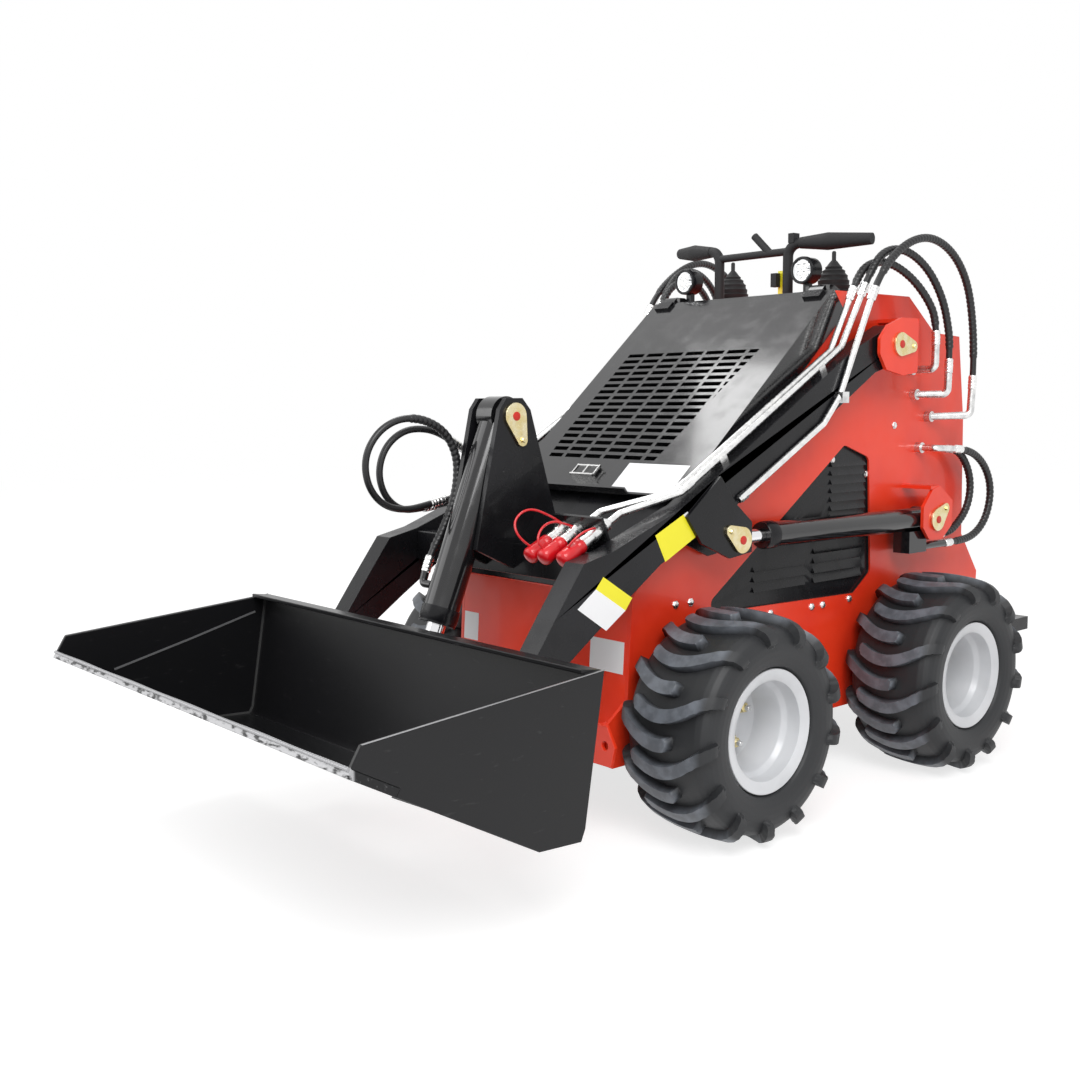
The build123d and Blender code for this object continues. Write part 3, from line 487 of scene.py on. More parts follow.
speckled = worn_steel.ramp(worn_steel.noise(70.0, 5.0, (1, 4, 4)), 0.6, 0.75)
bare = scraped * (1 - worn_steel.ramp(behind_lip, 0.009, 0.015)) + 0.25 * speckled
worn_steel.feed(Base_Color=worn_steel.mix(bare, colour(0.010, 0.010, 0.011), colour(0.42, 0.42, 0.43)),
                Roughness=0.34 + 0.15 * bare)
softened(worn_steel, "edge_steel", "cutting_edge", width=0.0012)
# Light steel for the welds, and for the painted highlight along the top edges of the bucket's sides.
weld_and_highlight = Finish("weld_and_highlight_steel", Base_Color=colour(0.34, 0.34, 0.35), Metallic=0.7, Roughness=0.36)
dull_weld = Finish("dull_weld", Base_Color=colour(0.10, 0.10, 0.10), Metallic=0.4, Roughness=0.4)
SEAMS = [  # name, finish, station and height of its points, X range of the left one, half its thickness
    # A painted highlight: a thin strip of lighter steel along the top edge of each side.
    ("rim_highlight", weld_and_highlight, [(-1330, 399.3), (-868, 435.3)], (BUCKET_HALF - 2.4, BUCKET_HALF + 0.3), 0.5),
    ("side_seam", weld_and_highlight, [(-1234, 316), (-1064, 358), (-906, 400)], (BUCKET_INSIDE - 2.0, BUCKET_INSIDE), 2.0),
    ("corner_seam", dull_weld, [(-880, 428), (-921, 184), (-928, 172), (-1007, 176), EDGE_REAR],
     (BUCKET_INSIDE - 3.0, BUCKET_INSIDE), 2.2),
]
for name, finish, points, (low, high), half in SEAMS:
    panels = []
    for start, end in zip(points, points[1:]):
        square = np.array([start[1] - end[1], end[0] - start[0]], float)
        square *= half / np.linalg.norm(square)
        outline = np.array([start - square, end - square, end + square, start + square])
        panels += [tuple(metres(sign * x, *outline.T) for x in (low, high)) for sign in (-1, 1)]
    fit(piece(f"bucket_{name}", [], panels=panels), finish, "bucket", "edge_steel")
WELD_SPOT, WELD_RADIUS, WELD_STEP = (-1350.5, 368.0), 3.2, 7.0
across = np.arange(1 - BUCKET_HALF, BUCKET_HALF, 1.0)
ripple = WELD_RADIUS * (0.82 + 0.18 * np.abs(np.sin(np.pi * across / WELD_STEP))
                        + 0.12 * np.sin(across / 37.0))
turn = np.arange(12) * 2 * np.pi / 12
bead = metres(across[:, None], WELD_SPOT[0] + ripple[:, None] * 1.1 * np.cos(turn),
              WELD_SPOT[1] + ripple[:, None] * np.sin(turn))
ends = [metres(across[at], *[np.full((1, 12), value) for value in WELD_SPOT]) for at in (0, -1)]
fit(piece("edge_weld", [np.concatenate([ends[0], bead, ends[1]])], 70.0), weld_and_highlight, "bucket", "edge_steel")

# Wheels: rims ---------------------------------------------------------------------------------------------
# Two-piece wheels spun from steel sheet: a stepped barrel with rolled flanges round a flat disc, sprayed
# light silver. Four gold passivated nuts on studs hold the disc, and a rubber valve stands beside them.
WHEEL_X, WHEELBASE, AXLE_Z = 396.0, 732.0, 229.0
NUT_CIRCLE, NUT_RADIUS = 50.8, 10.5
RIM_PROFILE = [  # X from the middle of the tyre, radius; a closed loop
    (92, 123), (93.2, 122), (92.5, 115), (90, 104), (87, 99), (76, 98), (60, 97.6), (56, 96), (50, 90),
    (46, 88), (20, 88), (16, 86.5), (-12, 86), (-17, 84), (-20, 78), (-20, 30), (-21, 22), (-26, 22),
    (-26, 88), (-58, 88), (-68, 97.6), (-88, 98), (-90, 104), (-92, 123), (-86, 123), (-84, 102),
    (-66, 101.6), (-56, 92), (44, 92), (54, 101.6), (84, 102), (86, 123), (92, 123),
]
HUB = [(-66, 0), (-66, 36), (-14, 36), (-14, 25), (-10, 24), (-10, 0)]
WHEEL_NUT = [(-20, 0), (-20, 14), (-17.5, 14), (-17.5, NUT_RADIUS), (-8, NUT_RADIUS), (-6.5, 8.5), (-6.5, 0)]
STUD = [(-7, 0), (-7, 5.5), (3, 5.5), (4, 4.5), (4, 0)]
VALVE = [(-20, 0), (-20, 8), (-16, 7), (0, 4), (8, 4), (8, 0)]
SIDES = (("left", 1), ("right", -1))
WHEELS = [(f"{end}_{side}", sign, station)
          for end, station in (("front", -WHEELBASE / 2), ("rear", WHEELBASE / 2)) for side, sign in SIDES]
silver = coat("silver_enamel", colour(0.66, 0.67, 0.69), colour(0.55, 0.56, 0.58), 0.34, 0.3, 0.00005)
rubber_black = Finish("black_rubber", Base_Color=DARK, Roughness=0.55)
for wheel, sign, station in WHEELS:
    centre, out = metres(sign * WHEEL_X, station, AXLE_Z), (sign, 0, 0)
    grids = [turned(RIM_PROFILE, centre, out, 128), turned(HUB, centre, out, 48)]
    rim = fit(piece(f"rim_{wheel}_finished", grids, 30.0), silver, f"wheel_{wheel}", "rim_paint")
    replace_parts(rim, f"rim_{wheel}")
    nuts, studs = [], []
    for turn in np.radians([25, 115, 205, 295]):
        spot = metres(sign * WHEEL_X, station + NUT_CIRCLE * np.cos(turn), AXLE_Z + NUT_CIRCLE * np.sin(turn))
        nuts.append(turned(WHEEL_NUT, spot, out, 6))
        studs.append(turned(STUD, spot, out, 16))
    fit(piece(f"nuts_{wheel}", nuts), gold, f"wheel_{wheel}", "yellow_zinc")
    fit(piece(f"studs_{wheel}", studs), zinc, f"wheel_{wheel}", "zinc")
    valve = turned(VALVE, metres(sign * WHEEL_X, station - 68, AXLE_Z + 14), out, 16)
    fit(piece(f"valve_{wheel}", [valve]), rubber_black, f"wheel_{wheel}", "hose_rubber")

# Wheels: tyres --------------------------------------------------------------------------------------------
# Wide pneumatic tyres moulded in charcoal rubber. Thirteen long bars start at each shoulder, half a pitch
# apart from the other side's, bow across the crown and wrap over the shoulder in a notched foot. Their tops
# wear grey.
BARS, BAR_HALF = 13, 3.3       # bars at each shoulder, half of a bar's width in degrees
BAR_DEPTH = 19.0               # millimetres
BAR_LEAD, FIRST_BAR = 15.0, 13.55  # degrees that a bar leads by at the shoulder, where the first one is
TYRE_HALF = 106.5              # half of the carcass's width, in millimetres
TYRE_PROFILE = np.array([  # X from the middle and radius of the carcass, from the inner bead out
    (-83.6, 102.3), (-83.8, 118), (-86, 124), (-92, 126.5), (-97, 129), (-101, 136), (-104.5, 147),
    (-TYRE_HALF, 160), (-106, 172), (-103, 184), (-98, 193), (-90, 200), (-78, 204.5), (-55, 207.5),
    (-28, 209), (0, 209.5)])
TYRE_LINING = np.array([(70, 102.3), (72, 124), (92, 140), (96, 165), (92, 185), (80, 193), (0, 197)])


def spaced(line, count):
    """Points at equal steps along a line of points."""
    run = np.concatenate([[0], np.cumsum(np.linalg.norm(np.diff(line, axis=0), axis=1))])
    steps = np.linspace(0, run[-1], count)
    return np.stack([np.interp(steps, run, line[:, i]) for i in range(line.shape[1])], -1)


def rise(value, low, high):
    """0 below low, 1 above high and a smooth cubic between them."""
    share = np.clip((value - low) / (high - low), 0, 1)
    return share * share * (3 - 2 * share)


def tyre(name, centre, sign):
    """The carcass is the profile spun round the axle. A bar lifts it along the profile's own normal by the
    bar's depth, where the turn from the bar's middle line is small and the place across lies between the
    bar's ends. The middle line leads by the square of the place across, and columns of points follow it."""
    half = TYRE_PROFILE[1:]
    outer = spaced(np.concatenate([half, half[-2::-1] * (-1, 1)]), 170)
    slope = np.gradient(outer, axis=0)
    normal = np.stack([-slope[:, 1], slope[:, 0]], -1)
    normal /= np.linalg.norm(normal, axis=1)[:, None]
    across = outer[:, 0] / TYRE_HALF
    girth = np.cumsum(np.concatenate([[0], np.linalg.norm(np.diff(outer, axis=0), axis=1)]))
    girth = (girth - girth[-1] / 2)[:, None]           # millimetres over the crown from its middle
    inside_step = np.array([-3.75, -3.3, -2.2, -0.7, 0.7, 2.2, 3.3, 3.75, 5.0, 6.2, 7.6, 8.8])
    pitch = 360 / BARS
    column = FIRST_BAR + (np.arange(2 * BARS)[:, None] * pitch / 2 + inside_step).ravel()
    local = np.tile(inside_step, 2 * BARS)[None, :]
    outer_bar = np.repeat(np.arange(2 * BARS) % 2 == 0, len(inside_step))[None, :]
    lead = BAR_LEAD * np.minimum(across ** 2, 1.0)[:, None]
    turn = np.radians(column[None, :] + lead)
    offset = np.where(local > pitch / 4, local - pitch / 2, local)
    outer_bar = np.where(local > pitch / 4, ~outer_bar, outer_bar)
    wall = 1 - rise(np.abs(offset), BAR_HALF, BAR_HALF + 0.45)
    blunt = 10 * (1 - np.sqrt(np.clip(1 - (offset / (BAR_HALF + 0.5)) ** 2, 0, 1)))
    notch = 6 * rise(np.abs(offset), 0.2, 1.5)
    towards = np.where(outer_bar, girth, -girth)       # grows towards the shoulder where the bar starts
    tail = np.where(outer_bar, -70.0, -32.0)
    bar = wall * rise(towards, tail + blunt, tail + blunt + 5) * (1 - rise(towards, 126 - notch, 131 - notch))
    depth = BAR_DEPTH * (1 - 0.55 * rise(towards, 100, 131))
    crown = 1 - 0.10 * rise(np.abs(girth), 0, 105)
    lifted = outer[:, None, :] + normal[:, None, :] * (bar * depth * crown)[..., None]
    lining = np.concatenate([TYRE_LINING, TYRE_LINING[-2::-1] * (-1, 1)])
    x, radius = (np.concatenate([[np.full(turn.shape[1], TYRE_PROFILE[0, at])], lifted[..., at],
                                 np.repeat(lining[:, at:at + 1], turn.shape[1], 1)]) for at in (0, 1))
    spin = np.concatenate([turn[:1], turn, np.repeat(turn[-1:], len(lining), 0)])
    x, radius, spin = (np.concatenate([part, part[:1]]) for part in (x, radius, spin))
    grid = np.stack([sign * x, -radius * np.cos(spin), radius * np.sin(spin)], -1) * 0.001 + centre
    made = piece(name, [grid], 38.0)
    spot = np.empty(len(made.data.vertices) * 3)
    made.data.vertices.foreach_get("co", spot)
    spot = spot.reshape(-1, 3) - centre
    top = rise(np.hypot(spot[:, 1], spot[:, 2]) * 1000, 213, 222)
    made.data.attributes.new("worn", "FLOAT", "POINT").data.foreach_set("value", top.astype(np.float32))
    return made


tyre_rubber = Finish("tyre_rubber", Specular_IOR_Level=0.45)
worn = tyre_rubber.node("ShaderNodeAttribute", {"attribute_name": "worn"}, {}, "Fac")
dusty = worn * (0.55 + 0.45 * tyre_rubber.ramp(tyre_rubber.noise(40.0), 0.35, 0.7))
tyre_rubber.feed(Base_Color=tyre_rubber.mix(dusty, colour(0.017, 0.018, 0.020), colour(0.15, 0.165, 0.19)),
                 Roughness=0.52 - 0.08 * worn)
tyre_rubber.relief(tyre_rubber.noise(260.0, 2.0), 0.0002)
for wheel, sign, station in WHEELS:
    made = tyre(f"tyre_{wheel}_finished", metres(sign * WHEEL_X, station, AXLE_Z), sign)
    fit(made, tyre_rubber, f"wheel_{wheel}", "tyre_rubber")
    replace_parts(made, f"tyre_{wheel}")

# Platform -------------------------------------------------------------------------------------------------
# The operator's step: a folded steel tray in black enamel, on two hinge brackets that are welded to the rear
# panel.
softened(black_enamel, "black_paint", "platform", "step_bracket")

# Handles --------------------------------------------------------------------------------------------------
# Bent steel posts and a cross bar in black, with thick foam grips slid over the ends. The grips are fattest
# in the middle.
foam = Finish("grip_foam", Base_Color=DARK, Roughness=0.62, Specular_IOR_Level=0.35)
foam.relief(foam.noise(700.0, 1.0), 0.0002)
softened(foam, "grip_rubber", "grab_handles", width=0.004)

# Levers ---------------------------------------------------------------------------------------------------
# Two drive levers stand in ribbed domes of moulded black rubber, which are screwed to the deck. Their short
# stems end under the grips.
BOOT_X, BOOT_STATION, DECK_TOP = 155.0, 270.0, 1099.0
LEVERS = [(0, 0), (0, 44), (4, 44), (5, 42)]
for height, radius in ((12, 41.5), (24, 41), (36, 39.5), (48, 37), (60, 33), (71, 27), (80, 20)):
    LEVERS += [(height - 7, radius - 0.4), (height - 2.5, radius), (height, radius - 3.4)]
LEVERS += [(86, 12), (91, 8), (94, 5), (112, 5), (115, 3), (115, 0)]
boots = [turned(LEVERS, metres(sign * BOOT_X, BOOT_STATION, DECK_TOP), (0, 0, 1), 48) for sign in (-1, 1)]
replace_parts(fit(piece("lever_boots", boots, 50.0), foam, "chassis", "grip_rubber"), "control_levers")

# Lamps ----------------------------------------------------------------------------------------------------
# Two round work lamps in black die-cast housings, screwed to zinc-plated brackets on the deck. Each has four
# bright diodes in silvered cups.
LAMP_X, LAMP_STATION, LAMP_Z = 180.0, 117.0, 1158.0
LAMP_RIM = [(0, 24.5), (3.5, 24.5), (4.5, 26), (4.5, 29), (3, 31), (-6, 31.5), (-6, 30), (0, 24.5)]
LAMP_BOWL = [(0.2, 0), (0.2, 24.6), (2.4, 24.6), (1.2, 22.5), (1.2, 0)]
CUP_CIRCLE, CUP = 11.5, [(1, 9.6), (3.6, 9.6), (3.6, 8.6), (1.6, 5), (1, 5), (1, 9.6)]
DIODE = [(1.0, 0), (1.0, 4.6), (2.4, 4), (3.4, 2), (3.6, 0)]
softened(black_enamel, "lamp", "work_lamps", width=0.0008)
reflector = Finish("lamp_reflector", Base_Color=colour(0.86, 0.87, 0.88), Metallic=0.9, Roughness=0.12)
diode = Finish("lamp_diode", Base_Color=colour(0.95, 0.95, 0.93), Roughness=0.25)
cups, diodes, rims = [], [], []
for sign in (-1, 1):
    face = metres(sign * LAMP_X, LAMP_STATION, LAMP_Z)
    rims.append(turned(LAMP_RIM, face, (0, -1, 0), 48))
    cups.append(turned(LAMP_BOWL, face, (0, -1, 0), 48))
    for turn in np.radians([45, 135, 225, 315]):
        spot = face + np.array([CUP_CIRCLE * np.cos(turn), 0, CUP_CIRCLE * np.sin(turn)]) * 0.001
        cups.append(turned(CUP, spot, (0, -1, 0), 24))
        diodes.append(turned(DIODE, spot, (0, -1, 0), 20))
fit(piece("lamp_rims", rims), black_enamel, "chassis", "lamp")
fit(piece("lamp_cups", cups), reflector, "chassis", "lamp")
fit(piece("lamp_diodes", diodes), diode, "chassis", "lamp")
BRACKETS = [  # low and high corner, as X, station and height
    ((150, 122, DECK_TOP), (210, 140, DECK_TOP + 3)), ((174, 140, DECK_TOP), (186, 144, 1150)),
]
brackets = [block(metres, (sign * low[0], *low[1:]), (sign * high[0], *high[1:])) for low, high in BRACKETS
            for sign in (-1, 1)]
fit(piece("lamp_brackets", [], panels=brackets), zinc, "chassis", "zinc")

# Console --------------------------------------------------------------------------------------------------
# Small parts round the handles: an upright strip in yellow, and two boxes in moulded black plastic for the
# switches, each screwed on.
strip = block(metres, (70, 168, DECK_TOP), (90, 171, 1168))
fit(piece("console_strip", [], panels=[strip]), label_yellow, "chassis", "yellow_zinc")
boxes = [block(metres, (62, 150, 1130), (78, 166, 1162)), block(metres, (112, 150, 1228), (128, 172, 1250))]
fit(piece("console_boxes", [], panels=boxes), foam, "chassis", "grip_rubber")

# Hood hooks -----------------------------------------------------------------------------------------------
# Two short bars of black steel, welded across the upper corners of the hood. They are put in place by the
# hood's own coordinates.
hooks = [block(sheet, (sign * 206, 636, 5), (sign * 252, 660, 12)) for sign in (-1, 1)]
fit(piece("hood_hooks", [], panels=hooks), black_enamel, "hood", "black_paint")

# Arm tubes ------------------------------------------------------------------------------------------------
# Three zinc-plated steel lines on each arm, bent cold, that carry oil from the rear hoses to the front. Clamp
# blocks hold them, each with one bolt.
bright_zinc = plated("bright_zinc", colour(0.90, 0.90, 0.89), colour(0.74, 0.74, 0.74), 0.20)
softened(bright_zinc, "zinc", "arm_tubes", "coupler_tubes", width=0.0004)
CLAMPS_DOWN = (100, 470)       # distances down the arm's top edge to where its clamps begin
ARM_TOP, ARM_SLOPE = np.array([109.0, 977.0]), math.atan2(977 - 660, 109 + 445)


def on_arm(x, down, over):
    """Points on top of an arm: across, down its straight upper edge from the rear, and square to the edge."""
    station = ARM_TOP[0] - down * math.cos(ARM_SLOPE) - over * math.sin(ARM_SLOPE)
    return metres(x, station, ARM_TOP[1] - down * math.sin(ARM_SLOPE) + over * math.cos(ARM_SLOPE))


clamps = [block(on_arm, (sign * 286, down, 0), (sign * 321, down + 22, 17))
          for down in CLAMPS_DOWN for sign in (-1, 1)]
clamps += [block(metres, (sign * ARM_FACE, 34, 857), (sign * (ARM_FACE + 20), 58, 881)) for sign in (-1, 1)]
fit(piece("tube_clamps", [], panels=clamps), zinc, "arms", "zinc")
KNEE_END, KNEE_WAY = (343, -288, 667), (0, -272, -146)         # where each outer line ends, and its direction
NUT = [(-20, 0), (-20, 9), (0, 9), (0, 7), (6, 7), (6, 0)]
nuts = [turned(NUT, metres(sign * KNEE_END[0], *KNEE_END[1:]), KNEE_WAY, 6) for sign in (-1, 1)]
fit(piece("line_nuts", nuts), bright_zinc, "arms", "zinc")

# Couplers -------------------------------------------------------------------------------------------------
# Three quick couplers with turned, zinc-plated bodies, screwed into a bracket on the left arm. A red rubber
# cap closes each against dust.
COUPLER_X = (173.0, 212.0, 266.0)
COUPLER_REAR, COUPLER_FRONT = (-585.0, 633.0), (-650.0, 599.0)
COUPLER = [(0, 0), (0, 10), (3, 12.5), (14, 12.5), (16, 10.5), (22, 10.5), (24, 14), (50, 14), (52, 12),
           (66, 12), (67, 13.2), (78, 13.2), (80, 11), (80, 0)]
CAP = [(0, 0), (0, 13.5), (3, 15.5), (12, 16), (14, 14.8), (20, 14.8), (22, 16.2), (52, 17.0), (57, 15),
       (60, 10), (60, 0)]
red_rubber = Finish("red_cap", Base_Color=colour(0.62, 0.006, 0.012), Roughness=0.30, Coat_Weight=0.3)
way = np.array(COUPLER_FRONT) - COUPLER_REAR
way /= np.linalg.norm(way)
bodies = [turned(COUPLER, metres(x, *COUPLER_REAR), (0, *way), 32) for x in COUPLER_X]
coupler = fit(piece("coupler_bodies", bodies), bright_zinc, "arms", "zinc")
caps = [turned(CAP, metres(x, *(np.array(COUPLER_FRONT) + way * 4)), (0, *way), 32) for x in COUPLER_X]
fit(piece("coupler_caps", caps), red_rubber, "arms", "red_plastic")
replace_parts(coupler, "quick_couplers")

# Hoses ----------------------------------------------------------------------------------------------------
# Braided rubber hose in a black spiral guard, crimped into zinc ferrules. Three cross from each arm to the
# frame behind the pivot, two feed each lift cylinder, and two loop out from the tilt tower.
softened(zinc, "zinc", "hose_fittings", "tower_fittings", width=0.0004)
HOSE_RADIUS, TILT_RADIUS = 7.5, 7.0
GUARD_PITCH, FERRULE = 0.011, 0.036    # metres that the guard's spiral climbs in a turn, length of a ferrule
TUBE_LINES = [(343, (148, 1082), (40, 872)), (312, (154, 1092), (86, 980)), (294, (136, 1084), (72, 972))]
FITTINGS = [((346, 572, 824), (346, 577, 886)), ((345, 468, 875), (345, 470, 925)),
            ((340, 419, 934), (340, 420, 990))]
REAR_BENDS = [
    [(340, 272, 1212), (345, 370, 1240), (349, 465, 1212), (348, 538, 1145), (346, 572, 1050)],
    [(313, 237, 1199), (319, 315, 1208), (330, 392, 1170), (342, 442, 1100), (345, 467, 1025)],
    [(294, 209, 1170), (301, 272, 1178), (314, 338, 1152), (330, 388, 1105)],
]
LIFT_BENDS = [
    (324, 512, [(650, 722), (698, 685), (722, 635), (712, 580), (680, 540), (630, 517)]),
    (300, 530, [(628, 715), (658, 675), (665, 630), (648, 585), (610, 553)]),
]
PORT_FOOT, PORT_END = (461, 746), (540, 742)
TILT_ROUTES = [
    [(-104, -700, 664), (-104, -745, 655), (-102, -800, 648), (-99, -855, 662), (-95, -892, 704),
     (-90, -900, 760), (-85, -872, 808), (-80, -824, 834), (-75, -768, 832), (-70, -718, 806),
     (-66, -692, 758), (-63, -694, 702), (-61, -712, 650), (-60, -738, 602), (-60, -760, 570),
     (-60, -772, 547), (-60, -780, 525)],
    [(-130, -700, 652), (-130, -738, 646.6), (-127, -791, 646), (-122, -834, 677), (-118, -851, 727),
     (-114, -835, 778), (-110, -792, 810), (-106, -738, 812), (-104, -690, 794), (-104, -652, 770)],
]


def beyond(start, towards, distance):
    """The point a distance from start on the line to another point; a negative distance lies behind it."""
    start, towards = np.array(start, float), np.array(towards, float)
    return start + (towards - start) * distance / np.linalg.norm(towards - start)


def centreline(name, route):
    """Points along a smooth spline whose control points are the hose's route."""
    line = bpy.data.curves.new(name, "CURVE")
    line.dimensions = "3D"
    spline = line.splines.new("NURBS")
    spline.points.add(len(route) - 1)
    spline.points.foreach_set("co", np.concatenate([route, np.ones((len(route), 1))], 1).ravel())
    spline.order_u, spline.use_endpoint_u = 3, True
    spline.resolution_u = 12
    drawn = bpy.data.objects.new(name, line)
    bpy.context.scene.collection.objects.link(drawn)
    bpy.context.view_layer.update()
    mesh = bpy.data.meshes.new_from_object(drawn)
    points = np.empty(len(mesh.vertices) * 3)
    mesh.vertices.foreach_get("co", points)
    bpy.data.objects.remove(drawn)
    bpy.data.curves.remove(line)
    bpy.data.meshes.remove(mesh)
    return points.reshape(-1, 3)


def carried(path, radius, sides=16):
    """A round section carried along a path: each ring lies square to the path, on the direction across the
    machine made square to it and on the one square to both. The radius may be a number for each point."""
    ahead = np.gradient(path, axis=0)
    ahead /= np.linalg.norm(ahead, axis=1)[:, None]
    over = np.array([1.0, 0, 0]) - ahead[:, :1] * ahead
    over /= np.linalg.norm(over, axis=1)[:, None]
    out = np.cross(ahead, over)
    turn = np.arange(sides) * 2 * np.pi / sides
    rings = (path[:, None] + np.asarray(radius)[..., None] * (
        np.cos(turn)[:, None] * over[:, None] + np.sin(turn)[:, None] * out[:, None]))
    return np.concatenate([np.repeat(path[:1, None], sides, 1), rings, np.repeat(path[-1:, None], sides, 1)])


def length_of(path):
    """Distance along a path to each of its points."""
    return np.concatenate([[0], np.cumsum(np.linalg.norm(np.diff(path, axis=0), axis=1))])


def hose(node, route, start_body, end_body, start, end, size=HOSE_RADIUS, guard=(0.10, 0.90)):
    """A hose's mesh follows the route's spline. Between the shares given by guard its radius swells with a
    wave that turns once round the hose in each pitch, which is the guard's spiral strip."""
    name = f"{node}_finished"
    line = centreline(name, route)
    line = spaced(line, int(length_of(line)[-1] / 0.0018))
    run = length_of(line)
    turn = np.arange(16) * 2 * np.pi / 16
    wave = np.sin(2 * np.pi * run[:, None] / GUARD_PITCH - turn)
    share = run[:, None] / run[-1]
    wrapped = rise(share, guard[0], guard[0] + 0.01) * (1 - rise(share, guard[1] - 0.01, guard[1]))
    radius = (size + wrapped * (1.0 + 0.9 * rise(wave, -0.5, 0.1))) * 0.001
    made = piece(name, [carried(line, radius)], 60.0)
    fit(made, hose_black, None if start_body != end_body else start_body, "hose_rubber")
    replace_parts(made, node)
    if start_body != end_body:
        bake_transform(made)
    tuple(route[0])
    for body, portion in ((start_body, run < FERRULE), (end_body, run > run[-1] - FERRULE)):
        along = length_of(line[portion])
        ridges = (size + 2.6 - 0.8 * (np.sin(along / along[-1] * 2 * np.pi * 4) > 0.75)) * 0.001
        ridges[[0, -1]] = (size + 1.0) * 0.001
        label = f"{name}_ferrule_{body}_{int(run[portion][0] > 0)}"
        fit(piece(label, [carried(line[portion], ridges[:, None], 20)]), bright_zinc, body, "zinc")


hose_black = Finish("hose_rubber", Base_Color=colour(0.011, 0.011, 0.012), Roughness=0.38)
for side, sign in SIDES:
    for index, ((x, tube_end, tube_bend), (elbow, top), bends) in enumerate(
            zip(TUBE_LINES, FITTINGS, REAR_BENDS), 1):
        route = [(x, *tube_end), (x, *beyond(tube_end, tube_bend, -62)), *bends,
                 (top[0], *beyond(top[1:], elbow[1:], -60)), top]
        route = metres(*(np.array(route) * (sign, 1, 1)).T)
        hose(f"rear_hose_{side}_{index}", route, "arms", "chassis", (0, route[0][1] + 0.03, 0),
             (0, route[-1][1] - 0.006, 0))
    for index, (x, height, bends) in enumerate(LIFT_BENDS, 1):
        route = [PORT_END, beyond(PORT_END, PORT_FOOT, -50), *bends, (565, height), (505, height)]
        route = metres(sign * x, *np.array([tuple(point) for point in route]).T)
        hose(f"lift_hose_{side}_{index}", route, "chassis", f"lift_barrel_{side}", (0, 0, 0.735),
             (0, 0, 0.56))
TILT_ENDS = [("tilt_barrel", (0.50, 0.94)), ("arms", (0.97, 0.98))]    # far end's body, shares with a guard
for index, (route, (far, guard)) in enumerate(zip(TILT_ROUTES, TILT_ENDS), 1):
    hose(f"tilt_hose_{index}", metres(*np.array(route).T), "arms", far, (-0.104, 0, 0), (-0.062, 0, 0),
         TILT_RADIUS, guard)

# Cap straps -----------------------------------------------------------------------------------------------
# A thin red rubber cord runs in a loop from each coupler's cap back to the coupler's body. It is a round
# section carried along a spline.
STRAP_RADIUS = 0.0024
STRAPS = [  # points from the cap to the body, as X from the coupler's middle, station and height
    [(0, -700, 590), (-8, -724, 606), (-24, -724, 640), (-18, -690, 664), (0, -645, 644), (0, -622, 630)],
    [(0, -700, 588), (-4, -716, 600), (-10, -700, 628), (-6, -672, 640), (0, -640, 630), (0, -622, 624)],
    [(0, -690, 592), (10, -692, 604), (16, -668, 622), (15, -640, 628), (6, -622, 626), (0, -620, 620)],
]
for index, (x, route) in enumerate(zip(COUPLER_X, STRAPS), 1):
    route = metres(*(np.array(route, float) + (x, 0, 0)).T)
    line = spaced(centreline(f"cap_strap_{index}", route), 60)
    cord = carried(line, np.full((len(line), 1), STRAP_RADIUS), 12)
    fit(piece(f"cap_strap_{index}", [cord], 60.0), red_rubber, "arms", "red_plastic")

# Studio ---------------------------------------------------------------------------------------------------
# A plain pale floor and an even white surround, lit by a large lamp above the machine's left shoulder, a
# weaker one ahead of it and a small one over the hood.
EYE, LENS = (1.9683, -2.1042, 0.8673), 41.53           # metres, millimetres
AZIMUTH, ELEVATION, ROLL = 49.0, 6.4, -0.4             # degrees
FLOOR_GLOW = 1.45


def seen(tree):
    """1 for what the camera sees, straight on, mirrored or through glass, and 0 for what only lights."""
    path = tree.nodes.new("ShaderNodeLightPath")
    camera, glossy, through = (Signal(tree, path.outputs[f"Is {kind} Ray"])
                               for kind in ("Camera", "Glossy", "Transmission"))
    return camera.most(glossy).most(through)


world = bpy.data.worlds.new("surround")
bpy.context.scene.world = world
world.use_nodes = True
backdrop = world.node_tree.nodes["Background"]
backdrop.inputs["Color"].default_value = colour(1, 1, 1)
world.node_tree.links.new((0.55 + 0.45 * seen(world.node_tree)).socket, backdrop.inputs["Strength"])

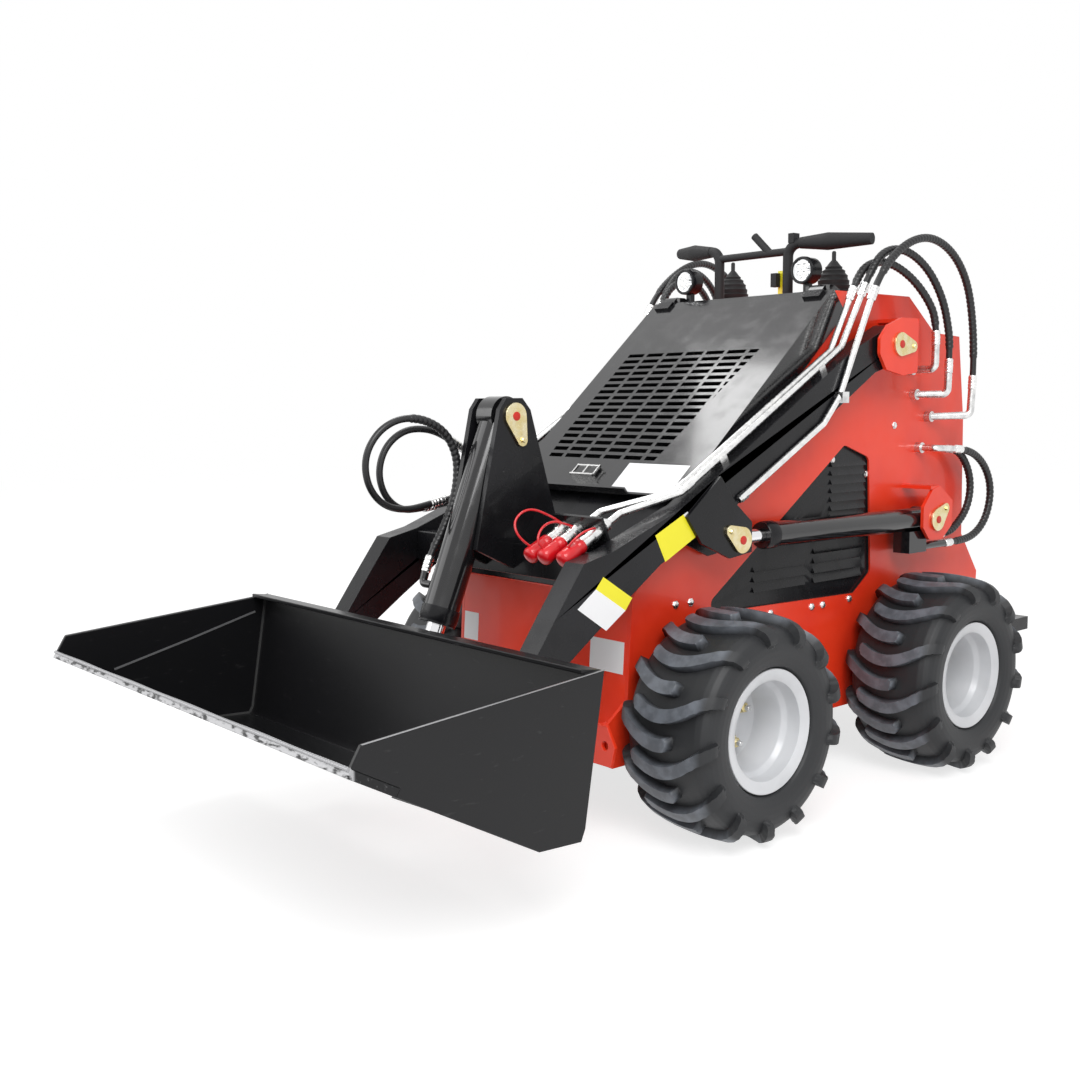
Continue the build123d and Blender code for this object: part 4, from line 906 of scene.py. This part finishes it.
bpy.ops.mesh.primitive_plane_add(size=24, location=(0, 0, -0.0005))
floor = bpy.context.object
floor.name = "floor"
floor_white = Finish("floor_white", Base_Color=colour(0.92, 0.92, 0.92), Roughness=0.9)
glow = floor_white.tree.nodes.new("ShaderNodeEmission")
glow.inputs["Strength"].default_value = FLOOR_GLOW
blend = floor_white.tree.nodes.new("ShaderNodeMixShader")
floor_white.tree.links.new((0.5 * seen(floor_white.tree)).socket, blend.inputs[0])
floor_white.tree.links.new(floor_white.shader.outputs[0], blend.inputs[1])
floor_white.tree.links.new(glow.outputs[0], blend.inputs[2])
floor_white.tree.links.new(blend.outputs[0], floor_white.tree.nodes["Material Output"].inputs[0])
floor.data.materials.append(floor_white.material)


def stand(holder, right, up, back, spot):
    """Puts a lamp or the camera at a spot, with its own three axes along the given ones."""
    holder.matrix_world = Matrix.Translation(spot) @ Matrix((right, up, back)).transposed().to_4x4()


def lamp(name, size, power, spot, target):
    """A square soft lamp at a spot, facing a target."""
    light = bpy.data.lights.new(name, "AREA")
    light.shape, light.size, light.energy = "SQUARE", size, power
    holder = bpy.data.objects.new(name, light)
    bpy.context.scene.collection.objects.link(holder)
    aim = np.array(target, float) - np.array(spot, float)
    aim /= np.linalg.norm(aim)
    _, side, up = frame_of(-aim)
    stand(holder, side, up, -aim, spot)


lamp("key_lamp", 2.4, 130, (2.6, -2.2, 3.4), (0, -0.2, 0.4))
lamp("front_lamp", 3.0, 48, (-2.2, -3.4, 2.2), (0, -0.4, 0.5))
lamp("hood_lamp", 0.8, 11, (-1.0, -0.05, 2.70), (0.28, -0.02, 0.73))

round_z, climb, roll = np.radians([AZIMUTH, ELEVATION, ROLL])
back = np.array([np.sin(round_z) * np.cos(climb), -np.cos(round_z) * np.cos(climb), np.sin(climb)])
right = np.array([np.cos(round_z), np.sin(round_z), 0])
up = np.cross(back, right)
right, up = right * np.cos(roll) + up * np.sin(roll), up * np.cos(roll) - right * np.sin(roll)
lens = bpy.data.cameras.new("camera")
lens.lens, lens.sensor_width = LENS, 36.0
camera = bpy.data.objects.new("camera", lens)
bpy.context.scene.collection.objects.link(camera)
stand(camera, right, up, back, EYE)
bpy.context.scene.camera = camera
bpy.context.scene.view_settings.view_transform = "Standard"
